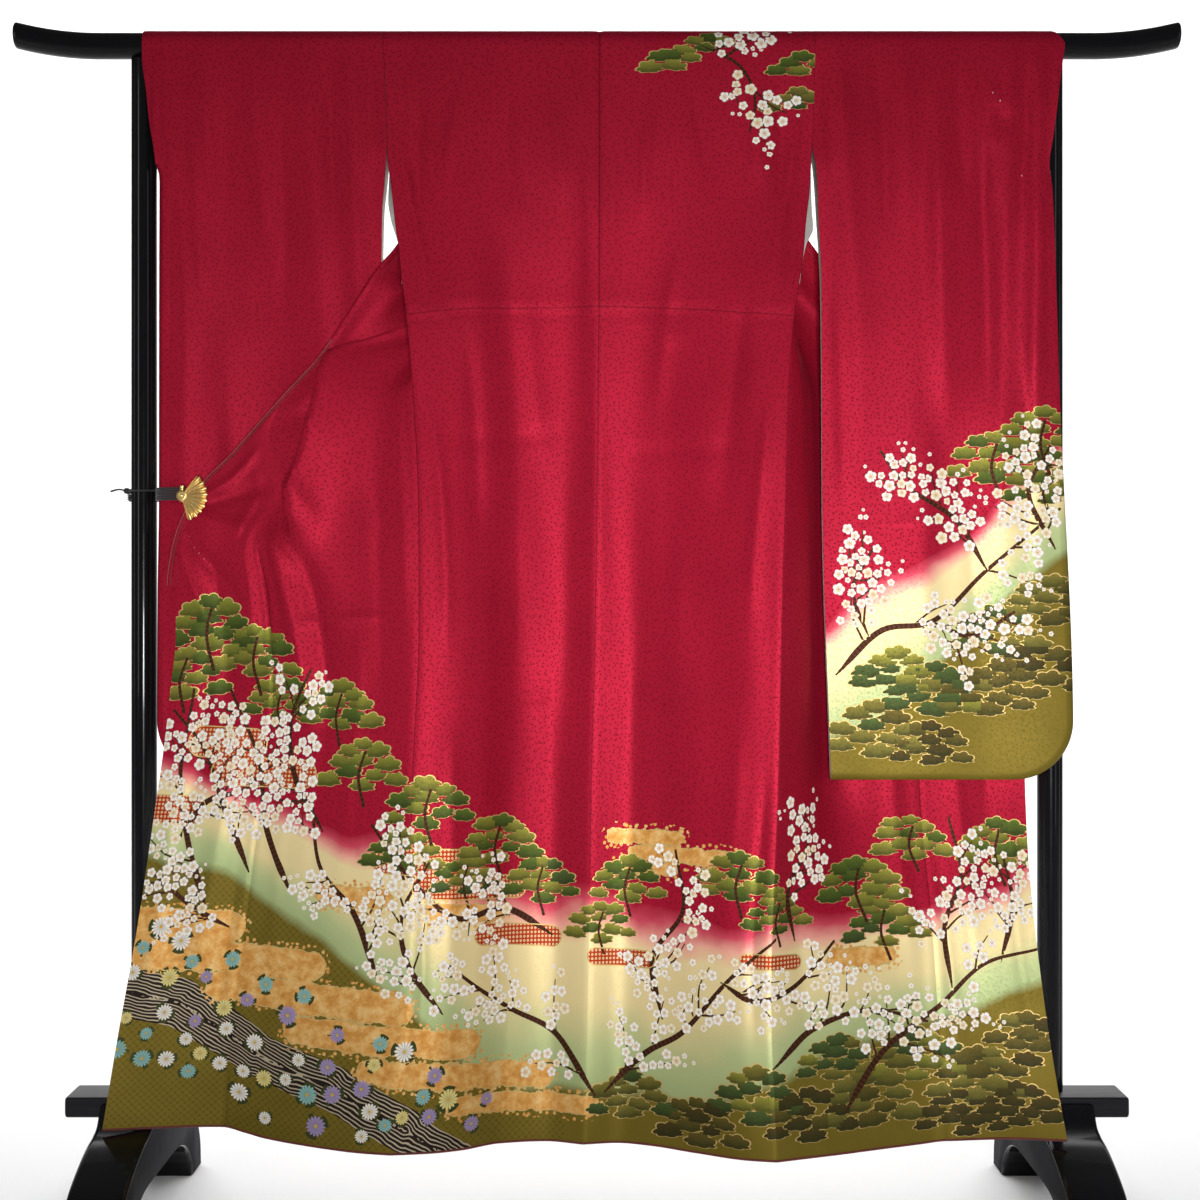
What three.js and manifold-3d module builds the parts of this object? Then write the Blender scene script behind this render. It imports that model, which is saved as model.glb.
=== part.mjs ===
// A long-sleeved furisode kimono hung by its back over a lacquered stand, with the left front
// drawn out to the post by a small fan clip. Millimetres, +Z up, floor at Z = 0.
import * as THREE from 'three';
import { mergeVertices } from 'three/addons/utils/BufferGeometryUtils.js';
import Module from 'manifold-3d';

const wasm = await Module();
wasm.setup();

// ---------------------------------------------------------------- driving dimensions
const SEAM_GAP = 0.3;            // air left between two pieces that are sewn together
const CLOTH = 2.0;               // lined silk, as one wall
const RAIL_Z = 1700;             // height of the rail's middle
const RAIL_R = 19;
const RAIL_HALF = 843;           // half length of the rail
const RAIL_LIFT = 16;            // how far its tips turn up
const RAIL_LIFT_LENGTH = 125;
const RAIL_SIDES = 28;
const POST_X = 656.5;
const POST_HALF = 18.5;          // half width across the lobes
const POST_LOBES = 4;
const POST_SIDES = 24;
const LOBE_DEPTH = 0.05;         // of its half width
const BAR_HALF = 762;
const BAR_DEPTH = 80;
const BAR_BOTTOM = 156;
const BAR_TOP = 185;
const BAR_ROUND = 4;
const FOOT_X = 669.5;
const FOOT_WIDTH = 80;
const SLEEVE_NOTCH_Z = 1526;     // lower end of the cuff opening and of the sleeve's seam to the body
const SLEEVE_BOTTOM_Z = 640;
const SLEEVE_CORNER = 85;        // radius of the rounded outer corner
const HEM_TO_RAIL_ROWS = 13;
const ARC_ROWS = 6;              // chords of the cloth's half turn over the rail
// Middle of the cloth where it rides on the rail; its chords stay clear of the round.
const OVER_R = (RAIL_R + SEAM_GAP) / Math.cos(Math.PI / (2 * ARC_ROWS)) + CLOTH / 2;
const NECK_CELLS = 3;
const FRONT_CELLS = 14;

// ---------------------------------------------------------------- curves through tables
// A smooth curve through rows [at, value] that never swings past its rows.
function smooth(table) {
  const rows = [...table].sort((p, q) => p[0] - q[0]);
  const n = rows.length;
  const slope = [];
  for (let i = 0; i < n - 1; i++) slope.push((rows[i + 1][1] - rows[i][1]) / (rows[i + 1][0] - rows[i][0]));
  const tangent = [slope[0]];
  for (let i = 1; i < n - 1; i++) {
    const turns = slope[i - 1] * slope[i] <= 0;
    tangent.push(turns ? 0 : (2 * slope[i - 1] * slope[i]) / (slope[i - 1] + slope[i]));
  }
  tangent.push(slope[n - 2]);
  return (at) => {
    if (at <= rows[0][0]) return rows[0][1];
    if (at >= rows[n - 1][0]) return rows[n - 1][1];
    let i = 0;
    while (rows[i + 1][0] < at) i++;
    const h = rows[i + 1][0] - rows[i][0];
    const t = (at - rows[i][0]) / h;
    const a = (1 + 2 * t) * (1 - t) ** 2 * rows[i][1];
    const b = t * (1 - t) ** 2 * h * tangent[i];
    const c = t * t * (3 - 2 * t) * rows[i + 1][1];
    const d = t * t * (t - 1) * h * tangent[i + 1];
    return a + b + c + d;
  };
}

// One smooth curve for each column of a table whose first column is the height.
function columns(table) {
  return table[0].slice(1).map((_, k) => smooth(table.map((row) => [row[0], row[k + 1]])));
}

const lerp = (a, b, t) => a + (b - a) * t;
const clamp01 = (t) => Math.min(1, Math.max(0, t));

// ---------------------------------------------------------------- sheets and solids
function indexed(points, faces) {
  const geometry = new THREE.BufferGeometry();
  geometry.setAttribute('position', new THREE.Float32BufferAttribute(points.flat(), 3));
  geometry.setIndex(faces.flat());
  return geometry;
}

const SHARPEST = 0.6;            // least cosine at which a corner's wall is still mitred

// A cloth wall round a grid of middle points; cells that keep() refuses are left out.
function wall(grid, thickness, keep = () => true) {
  const rows = grid.length;
  const cols = grid[0].length;
  const points = [];
  const faces = [];
  const at = (r, c, side) => (r * cols + c) * 2 + side;
  const vec = (r, c) => new THREE.Vector3(...grid[r][c]);
  const has = (r, c) => r >= 0 && c >= 0 && r < rows - 1 && c < cols - 1 && keep(r, c);
  for (let r = 0; r < rows; r++) {
    for (let c = 0; c < cols; c++) {
      const faceNormals = [];
      for (const [dr, dc] of [[-1, -1], [-1, 0], [0, -1], [0, 0]]) {
        if (!has(r + dr, c + dc)) continue;
        const a = vec(r + dr, c + dc);
        const b = vec(r + dr + 1, c + dc + 1);
        const p = vec(r + dr, c + dc + 1);
        const q = vec(r + dr + 1, c + dc);
        faceNormals.push(b.sub(a).cross(q.sub(p)).normalize());
      }
      const normal = faceNormals.reduce((sum, n) => sum.add(n), new THREE.Vector3()).normalize();
      const mitre = faceNormals.length ? Math.max(SHARPEST, faceNormals[0].dot(normal)) : 1;
      normal.multiplyScalar(thickness / 2 / mitre);
      const p = grid[r][c];
      points.push([p[0] + normal.x, p[1] + normal.y, p[2] + normal.z]);
      points.push([p[0] - normal.x, p[1] - normal.y, p[2] - normal.z]);
    }
  }
  const quad = (a, b, c, d) => faces.push([a, b, c], [a, c, d]);
  for (let r = 0; r < rows - 1; r++) {
    for (let c = 0; c < cols - 1; c++) {
      if (!has(r, c)) continue;
      quad(at(r, c, 0), at(r + 1, c, 0), at(r + 1, c + 1, 0), at(r, c + 1, 0));
      quad(at(r, c, 1), at(r, c + 1, 1), at(r + 1, c + 1, 1), at(r + 1, c, 1));
      if (!has(r - 1, c)) quad(at(r, c, 0), at(r, c + 1, 0), at(r, c + 1, 1), at(r, c, 1));
      if (!has(r + 1, c)) quad(at(r + 1, c + 1, 0), at(r + 1, c, 0), at(r + 1, c, 1), at(r + 1, c + 1, 1));
      if (!has(r, c - 1)) quad(at(r + 1, c, 0), at(r, c, 0), at(r, c, 1), at(r + 1, c, 1));
      if (!has(r, c + 1)) quad(at(r, c + 1, 0), at(r + 1, c + 1, 0), at(r + 1, c + 1, 1), at(r, c + 1, 1));
    }
  }
  const used = new Map();
  const kept = [];
  for (const i of faces.flat()) {
    if (used.has(i)) continue;
    used.set(i, kept.length);
    kept.push(points[i]);
  }
  return outward(kept, faces.map((face) => face.map((i) => used.get(i))));
}

// Turns a closed shell so that its faces look outwards.
function outward(points, faces) {
  let volume = 0;
  for (const [a, b, c] of faces) {
    const p = new THREE.Vector3(...points[a]);
    volume += p.dot(new THREE.Vector3(...points[b]).cross(new THREE.Vector3(...points[c])));
  }
  return indexed(points, volume < 0 ? faces.map(([a, b, c]) => [a, c, b]) : faces);
}

function toManifold(geometry) {
  const bare = geometry.clone();
  bare.deleteAttribute('normal');
  bare.deleteAttribute('uv');
  const merged = mergeVertices(bare, 1e-4);
  return new wasm.Manifold(new wasm.Mesh({
    numProp: 3,
    vertProperties: new Float32Array(merged.attributes.position.array),
    triVerts: new Uint32Array(merged.index.array),
  }));
}

function fromManifold(solid) {
  const mesh = solid.getMesh();
  const geometry = new THREE.BufferGeometry();
  geometry.setAttribute('position', new THREE.Float32BufferAttribute(mesh.vertProperties, 3));
  geometry.setIndex([...mesh.triVerts]);
  return geometry;
}

// ---------------------------------------------------------------- the lie of the cloth
// Side edge of the back (also the side seam below the armhole), the middle seam and their depth
// in front of the rail's middle plane. Columns: height, x of seam, depth.
const MIDDLE_SEAM = columns([
  [1721, 4, 21], [1379, 3, 30], [1040, 0, 42], [840, -3, 50], [640, -8, 58], [326, -13, 70],
  [130, -19.5, 77],
]);
const LEFT_SIDE = columns([
  [1721, -309, 21], [1600, -304, 23], [1526, -301, 27], [1499, -296.5, 30], [1433, -288.6, 38],
  [1395, -282.7, 44],
  [1357, -279, 50], [1316, -273, 55], [1153, -258, 70], [1045, -252, 80], [848, -250, 96],
  [644, -258, 110],
  [336, -265, 126], [130, -286.4, 134.7],
]);
const RIGHT_SIDE = columns([
  [1721, 315, 21], [1600, 312, 23], [1546, 309, 26], [1487, 305.5, 31], [1434, 299, 38],
  [1397, 295.7, 44],
  [1356, 289.3, 52], [1280, 278, 62], [1180, 270.6, 77], [1038, 265.4, 92], [918, 260.5, 103],
  [642, 253, 122],
  [341, 240, 152], [130, 246.4, 170],
]);
const HEM_Z = 130;
const ARMHOLE_Z = 1348;          // below it the front's side edge is sewn to the back's

// How the back's depth runs from the middle seam (0) to the side seam (1).
const LEFT_BACK_SWEEP = smooth([[0, 0], [0.2, -0.32], [0.44, -0.12], [0.64, 0.54], [0.8, 0.84], [1, 1]]);
const RIGHT_BACK_SWEEP = smooth([[0, 0], [0.18, -0.1], [0.35, 0.06], [0.6, 0.5], [0.85, 0.9], [1, 1]]);

// The free side edge of each front inside the armhole: height, x, y.
const LEFT_FREE_EDGE = columns([
  [1700, -309, 21], [1610, -305, 21], [1526, -302.6, 19.5], [1480, -303, 4], [1440, -296, -18],
  [1426, -291, -26],
  [1405, -284, -35], [1394, -281, -38], [1370, -279, -43], [1348, -279, -47],
]);
const RIGHT_FREE_EDGE = columns([
  [1700, 315, 21], [1610, 312.4, 21.6], [1526, 311.6, 19], [1464, 312, 6], [1436, 313, -6],
  [1406, 300, -30],
  [1370, 292, -45], [1348, 289.6, -50],
]);

// Stations of the left front across its width at each height, as x and y, from next to the side
// edge to the collar seam: slack and its turn, the ridge of the great pleat, the fold under it,
// the okumi seam and the collar seam.
const LEFT_FRONT = columns([
  [1700, -280, 21, -240, 21, -205, 21, -172, 21, -150, 21, -120, 21, -90, 21],
  [1682, -280, 20.8, -243, 20.6, -211, 20.4, -180, 20.4, -156, 20.6, -128, 20.8, -100.6, 21],
  [1610, -284, 12, -262, 1, -240, -5, -216, -6, -192, 1, -168, 10, -147.4, 15],
  [1526, -288, 2, -272, -11, -254, -18, -236, -19, -222, -15, -211, -7, -202, 4],
  [1464, -272, -16, -242, -22, -218, -24, -208, -18, -212, -8, -226, -5, -241, -7],
  [1426, -258, -27, -224, -25, -194, -17, -184, -3, -200, 6, -232, 0, -265, -14],
  [1394, -254, -36, -228, -30, -206, -18, -200, -3, -216, 6, -246, -4, -285, -27],
  [1370, -252, -40, -226, -33, -204, -18, -200, 2, -218, 12, -258, -6, -305, -33],
  [1348, -254, -42, -228, -33, -210, -18, -208, 0, -226, 8, -272, -26, -320, -38],
  [1290, -252, -46, -240, -32, -246, -20, -274, -26, -302, -35, -330, -40, -358, -42],
  [1245, -255, -48, -262, -38, -300, -42, -385, -56, -364, -47, -375, -43.5, -388, -43],
  [1183, -282, -60, -306, -57, -340, -60, -401, -67, -372, -53, -412, -48, -444, -46],
  [1110, -286, -68, -318, -66, -356, -68, -420, -73, -386, -57, -428, -51, -508, -47],
  [1045, -290, -74, -330, -71, -374, -72, -439, -75, -412, -59, -446, -53, -566, -48],
  [972, -296, -79, -342, -75, -384, -72, -430, -71, -450, -67, -481, -61, -594, -49],
  [918, -293, -83, -336, -77, -378, -73, -420, -70, -444, -66, -470, -62, -600, -50],
  [847, -290, -89, -330, -82, -370, -76, -408, -71, -436, -66, -463, -63, -600, -51],
  [776, -292, -93, -330, -85, -368, -78, -404, -71, -432, -66, -460, -62, -607, -50],
  [698, -296, -97, -335, -88, -374, -79, -411, -70, -440, -64, -466, -59, -616, -49],
  [597, -302, -101, -344, -90, -386, -79, -424, -69, -452, -62, -480, -57, -630, -51],
  [434, -312, -110, -360, -98, -406, -84, -448, -71, -474, -63, -500, -57, -652, -62],
  [265, -320, -119, -370, -106, -418, -91, -463, -75, -492, -65, -521, -57, -678, -76],
  [130, -333, -127, -381, -110, -429, -90, -474, -73, -502, -62, -530, -56, -696, -89],
]);

// The right front, the same stations; it swings out behind the sleeve and comes forward below it.
const RIGHT_FRONT = columns([
  [1700, 286, 21, 250, 21, 214, 21, 180, 21, 156, 21, 124, 21, 90, 21],
  [1682, 287, 20.8, 253, 20.6, 218, 20.4, 187, 20.4, 162, 20.6, 132, 20.8, 102, 21],
  [1610, 290, 12, 267, 1, 244, -5, 220, -6, 196, 2, 172, 12, 152, 20],
  [1526, 298, 2, 284, -10, 266, -17, 248, -18, 234, -12, 225, 3, 220, 22],
  [1464, 284, -8, 254, -17, 228, -20, 216, -12, 220, 4, 240, 17, 267, 27],
  [1436, 280, -14, 244, -21, 214, -20, 200, -6, 208, 10, 244, 24, 288, 28],
  [1406, 270, -30, 240, -26, 214, -16, 204, 0, 220, 16, 266, 24, 311, 28],
  [1350, 270, -38, 248, -26, 236, -10, 242, 6, 264, 18, 308, 24, 354, 28],
  [1280, 287, -42, 284, -20, 288, -2, 306, 10, 334, 18, 370, 22, 408, 24],
  [1183, 290, -60, 304, -34, 322, -8, 350, 9, 388, 17, 432, 20, 480, 18],
  [1040, 292, -66, 308, -34, 330, -8, 364, 8, 412, 14, 462, 14, 585, 12],
  [918, 290, -72, 309, -36, 334, -10, 370, 3, 417, 8, 465, 8, 597, 8],
  [640, 290, -76, 324, -22, 356, -9, 390, -5, 428, -2, 467, 0, 620, 0],
  [540, 290, -84, 330, -46, 364, -30, 398, -22, 434, -17, 472, -14, 621, -16],
  [440, 290, -104, 334, -76, 370, -60, 406, -48, 442, -41, 479, -37, 624, -46],
  [326, 288, -126, 334, -105, 374, -88, 412, -73, 448, -63, 484, -57, 632, -75],
  [200, 290, -141, 336, -120, 378, -101, 417, -86, 454, -76, 490, -71, 645, -106],
  [130, 294, -150, 340, -131, 382, -112, 421, -95, 458, -82, 493, -77, 652.6, -130],
]);
const COLLAR_END_Z = 918;        // lower end of the collar on both fronts
const KENSAKI_Z = 1183;          // where the okumi's point meets collar and front
// The clip and the feet carry the front corners of the hem up: share across the front, rise.
const LEFT_HEM_RISE = smooth([[0, 0], [0.4, 4], [0.7, 13], [0.92, 21], [1, 22]]);
const RIGHT_HEM_RISE = smooth([[0, 0], [0.6, 1], [0.86, 5], [0.95, 15], [1, 18]]);
const LEFT = { side: LEFT_SIDE, free: LEFT_FREE_EDGE, stations: LEFT_FRONT, rise: LEFT_HEM_RISE };
const RIGHT = { side: RIGHT_SIDE, free: RIGHT_FREE_EDGE, stations: RIGHT_FRONT, rise: RIGHT_HEM_RISE };

// Where the front doubles back close behind the back, its edge stands this much behind.
const BACKSET = smooth([[HEM_Z, 0], [1150, 0.2], [1290, 3], [RAIL_Z, 3]]);

// A centripetal curve through the stations of one front at one height.
function section(front, z) {
  const sewn = z < ARMHOLE_Z;
  const set = BACKSET(z);
  const points = [sewn ? new THREE.Vector3(front.side[0](z), set - front.side[1](z), 0)
    : new THREE.Vector3(front.free[0](z), front.free[1](z), 0)];
  const { stations } = front;
  for (let k = 0; k < stations.length; k += 2) {
    points.push(new THREE.Vector3(stations[k](z), stations[k + 1](z), 0));
  }
  return new THREE.CatmullRomCurve3(points, false, 'centripetal');
}

const STATIONS = 7;              // spans between the eight stations
const OKUMI_STATION = 6;

// Point of a front at a height, at station count k (0 side edge, 6 okumi seam, 7 collar seam).
function frontPoint(front, z, k) {
  const p = section(front, z).getPoint(clamp01(k / STATIONS));
  return new THREE.Vector3(p.x, p.y, z);
}

// Station count that lies a distance in millimetres further along the section.
function along(front, z, k, distance) {
  const step = 0.02;
  const near = k > STATIONS / 2 ? k - step : k;
  const span = frontPoint(front, z, near).distanceTo(frontPoint(front, z, near + step));
  return k + (distance * step) / span;
}

// Below the okumi's point the front ends at the okumi seam, above it at the collar seam.
const EDGE_STATION = smooth([
  [HEM_Z, OKUMI_STATION], [1045, OKUMI_STATION], [KENSAKI_Z, STATIONS], [RAIL_Z, STATIONS],
]);
const HEM_LIFT_REACH = 420;      // height over which the rise of the hem fades

function lifted(front, z, k) {
  const p = frontPoint(front, z, k);
  p.z += front.rise(k / STATIONS) * clamp01(1 - (z - HEM_Z) / HEM_LIFT_REACH) ** 2;
  return p;
}

// ---------------------------------------------------------------- body lengths
// Back and front of one side in one length over the shoulder, as a grid from back hem to front hem.
// Heights that the front, the okumi and the collar share, so that their seams run together.
const FRONT_HEIGHTS = [
  1682, 1650, 1605, 1560, 1526, 1480, 1440, 1405, 1370, 1335, 1290, 1245, 1205, 1168, 1120, 1072,
  1022, 972, 918,
  840, 750, 640, 530, 420, 300, 210, 130,
];
const NECK_HALF = 90;
const MIDDLE_GAP = 0.55;         // each side of the middle seam, where the halves meet at an angle
const SHOULDER = 312;
// Front and back meet at an angle at the side seam, so their middles keep further apart.
const SIDE_GAP = smooth([
  [HEM_Z, 1.5], [640, 2.4], [918, 2.6], [1290, 3], [ARMHOLE_Z, 3], [1420, 0.3], [RAIL_Z, 0.15],
]);

function bodyGrid(side, sweep, front) {
  const grid = [];
  const cols = NECK_CELLS + FRONT_CELLS;
  const neckShare = NECK_HALF / SHOULDER;
  const across = (c) => (c <= NECK_CELLS ? (c / NECK_CELLS) * neckShare
    : neckShare + ((c - NECK_CELLS) / FRONT_CELLS) * (1 - neckShare));
  const backX = (z, u) => lerp(MIDDLE_SEAM[0](z) + side * MIDDLE_GAP,
    front.side[0](z) - (side * SEAM_GAP) / 2, u);
  const backRow = (place) => Array.from({ length: cols + 1 }, (_, c) => place(across(c)));
  for (let r = 0; r < HEM_TO_RAIL_ROWS; r++) {
    const z = lerp(HEM_Z, RAIL_Z, r / HEM_TO_RAIL_ROWS);
    grid.push(backRow((u) => [backX(z, u), -lerp(MIDDLE_SEAM[1](z), front.side[1](z), sweep(u)), z]));
  }
  for (let r = 0; r <= ARC_ROWS; r++) {
    const angle = (Math.PI * r) / ARC_ROWS;
    const y = -OVER_R * Math.cos(angle);
    const z = RAIL_Z + OVER_R * Math.sin(angle);
    grid.push(backRow((u) => [backX(RAIL_Z, u), y, z]));
  }
  const shoulderRow = grid[grid.length - 1];
  for (const z of FRONT_HEIGHTS) {
    const edge = along(front, z, EDGE_STATION(z), -SEAM_GAP / 2);
    const start = along(front, z, 0, SIDE_GAP(z));
    grid.push(shoulderRow.map((above, c) => (c < NECK_CELLS ? above
      : lifted(front, z, lerp(edge, start, (c - NECK_CELLS) / FRONT_CELLS)).toArray())));
  }
  const frontStart = HEM_TO_RAIL_ROWS + ARC_ROWS;
  return wall(grid, CLOTH, (r, c) => !(r >= frontStart && c < NECK_CELLS));
}

// ---------------------------------------------------------------- okumi and collar
const OKUMI_TOP_Z = 1168;
const OKUMI_CELLS = 4;

function okumiGrid(front) {
  const grid = [];
  for (const z of FRONT_HEIGHTS.filter((height) => height <= OKUMI_TOP_Z)) {
    const from = along(front, z, EDGE_STATION(z), SEAM_GAP / 2);
    const to = along(front, z, STATIONS, -SEAM_GAP / 2);
    grid.push(Array.from({ length: OKUMI_CELLS + 1 },
      (_, c) => lifted(front, z, lerp(from, to, c / OKUMI_CELLS)).toArray()));
  }
  return wall(grid, CLOTH);
}

const COLLAR_FOLD = 5.6;         // between the middles of its two leaves
const NECK_ROWS = 6;
const NECK_CORNER = 20;          // the neck's seam turns down to the fronts over this width
const NECK_DROP = 9;             // its seam lies this far under the rail's middle, behind the rail
// How much of the collar stands beyond its seam, and how far its back leaf is turned in behind.
const COLLAR_SHOWN = smooth([
  [COLLAR_END_Z, 12], [1045, 8], [1099, 6], [1350, 6], [1430, 7], [1526, 8], [1600, 12],
  [1668, 14], [RAIL_Z, 22],
]);

// Air at its seam; more where front and collar twist through a quarter turn inside the armhole.
const COLLAR_GAP = smooth([
  [COLLAR_END_Z, 0.35], [1400, 0.35], [1440, 3], [1555, 3], [1605, 0.6], [RAIL_Z, 0.35],
]);
const COLLAR_TURNED = smooth([
  [COLLAR_END_Z, 31], [1290, 40], [1348, 12], [1430, -2], [1555, -2], [RAIL_Z, 0],
]);

function collarGrid() {
  const stops = [];
  const side = (front) => FRONT_HEIGHTS.filter((z) => z >= COLLAR_END_Z).reverse().map((z) => (
    { seam: frontPoint(front, z, STATIONS), inner: frontPoint(front, z, STATIONS - 0.12), front, z }));
  const neckX = NECK_HALF - NECK_CORNER;
  stops.push(...side(LEFT));
  for (let r = 0; r <= NECK_ROWS; r++) {
    const x = lerp(-neckX, neckX, r / NECK_ROWS);
    const seam = new THREE.Vector3(x, OVER_R, RAIL_Z - NECK_DROP);
    stops.push({ seam, inner: new THREE.Vector3(x, OVER_R, RAIL_Z), z: RAIL_Z });
  }
  stops.push(...side(RIGHT).reverse());
  return wall(stops.map((stop, i) => {
    const before = stops[Math.max(0, i - 1)].seam;
    const after = stops[Math.min(stops.length - 1, i + 1)].seam;
    const path = after.clone().sub(before).normalize();
    const out = stop.seam.clone().sub(stop.inner);
    out.addScaledVector(path, -out.dot(path)).normalize();
    const face = path.clone().cross(out);
    const shown = COLLAR_SHOWN(stop.z);
    const place = (a, b) => stop.seam.clone().addScaledVector(out, a).addScaledVector(face, b);
    const row = [place(COLLAR_GAP(stop.z), 0), place(shown / 2, 0), place(shown, 0)];
    for (const turn of [0.25, 0.5, 0.75]) {
      const r = COLLAR_FOLD / 2;
      row.push(place(shown + r * Math.sin(turn * Math.PI), -r + r * Math.cos(turn * Math.PI)));
    }
    row.push(place(shown, -COLLAR_FOLD), place(shown / 2, -COLLAR_FOLD));
    const leaf = stop.front ? -COLLAR_TURNED(stop.z) : shown / 2 - 2;
    for (const share of [0.45, 1]) row.push(place(lerp(shown / 2, leaf, share), -COLLAR_FOLD));
    return row.map((p) => p.toArray());
  }), CLOTH);
}

// ---------------------------------------------------------------- sleeves
// Edge and depth of each layer by height; depth is in front of the rail's middle plane.
const LEFT_CUFF = smooth([
  [1719, -655.6], [1677, -655], [1631, -649], [1585, -644], [1540, -636], [1498, -632], [1044, -632],
  [900, -634], [640, -635],
]);
const LEFT_SLEEVE = {
  inner: smooth([
    [1721, -309.9], [1526, -303.9], [1490, -306.4], [1459, -309], [1371, -310], [1100, -312], [640, -318],
  ]),
  outer: LEFT_CUFF,
  outerRear: LEFT_CUFF,
  front: smooth([[1700, 21], [1600, 21.4], [1526, 22], [1400, 22], [1300, 21], [1200, 20], [640, 19]]),
  rearInner: smooth([[1700, -21], [1526, -19.6], [1460, -11], [1400, -4], [1200, 3], [640, 7]]),
  rearOuter: smooth([[1700, -21], [1640, -20.6], [1526, -12], [1400, -4], [1200, 3], [640, 7]]),
};
const RIGHT_SLEEVE = {
  inner: smooth([
    [1721, 315.6], [1546, 313], [1500, 316], [1445, 318], [1352, 322], [1040, 323], [639, 335],
  ]),
  outer: smooth([
    [1721, 676.5], [1703, 675], [1647, 666], [1604, 660.5], [1562, 654.6], [1524, 649], [1490, 653.6],
    [1419, 657], [1318, 660], [1185, 664], [753, 682], [640, 683],
  ]),
  outerRear: smooth([
    [1721, 634], [1562, 633], [1532, 636], [1524, 649], [1490, 653.6], [1419, 657], [1318, 660],
    [1185, 664], [753, 682], [640, 683],
  ]),
  front: smooth([[1700, 21], [1526, 31], [1400, 33], [1200, 35], [900, 38], [640, 39]]),
  rearInner: smooth([
    [1700, -21], [1640, -22.5], [1526, -18.5], [1450, -6], [1400, 3], [1300, 14], [1200, 20], [900, 25],
    [640, 28],
  ]),
  rearOuter: smooth([[1700, -21], [1640, -12], [1580, 10], [1540, 23], [1524, 24.5], [640, 28]]),
};
const SLEEVE_HEIGHTS = [790, 900, 1040, 1180, 1320, 1440, 1523, 1527, 1580, 1640, 1700];
const SLEEVE_LOW_SHARES = [0, 0.22, 0.5, 0.76];
const CUFF_REACH = 14;           // how far the hollow runs past the open edges

// Pleats of the front layer, from the body to the cuff: x at the rail, x where the pleat has run
// PLEAT_RUN down, height of its crown, half width at the rail.
const PLEAT_RUN = 420;
const LEFT_SLEEVE_PLEATS = [
  [-362, -340, 5, 11], [-424, -392, 4, 16], [-572, -530, 4, 14], [-628, -596, 5, 12],
];
const RIGHT_SLEEVE_PLEATS = [[345, 372, 4, 14], [440, 452, 4, 18], [598, 580, 5, 12], [636, 626, 5, 10]];
const PLEAT_START = 90;          // a pleat grows from nothing at the rail over this height
const PLEAT_END_Z = 760;
const PLEAT_FADE = 500;
const FLANK = 0.85;              // of a pleat's half width, where the sheet has a column on each flank
const CORNER_SHARES = [0.55, 0.9];

const pleatRun = (z) => clamp01((RAIL_Z - z) / PLEAT_RUN);
const pleatMiddle = ([top, low], z) => lerp(top, low, pleatRun(z));
const pleatHalf = (half, z) => half * (1 + pleatRun(z));

function pleatDepth(pleats, x, z) {
  const rise = clamp01((RAIL_Z - z) / PLEAT_START) * clamp01((z - PLEAT_END_Z) / PLEAT_FADE);
  return pleats.reduce((sum, pleat) => {
    const away = (x - pleatMiddle(pleat, z)) / pleatHalf(pleat[3], z);
    return sum + pleat[2] * rise * Math.exp(-away * away);
  }, 0);
}

// Share of the sleeve's width at which each column of the sheet runs, as functions of the height:
// one on each pleat's crown and one on each flank, and two towards the rounded corner.
function sleeveColumns(sleeve, side, pleats) {
  const share = (x, z) => (x - sleeve.inner(z)) / (sleeve.outer(z) - sleeve.inner(z));
  const crowns = pleats.flatMap((pleat) => [-1, 0, 1].map((flank) => (z) => (
    share(pleatMiddle(pleat, z) + side * flank * FLANK * pleatHalf(pleat[3], z), z))));
  const last = crowns[crowns.length - 1];
  return [...crowns, ...CORNER_SHARES.map((t) => (z) => lerp(last(z), 1, t))];
}

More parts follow.
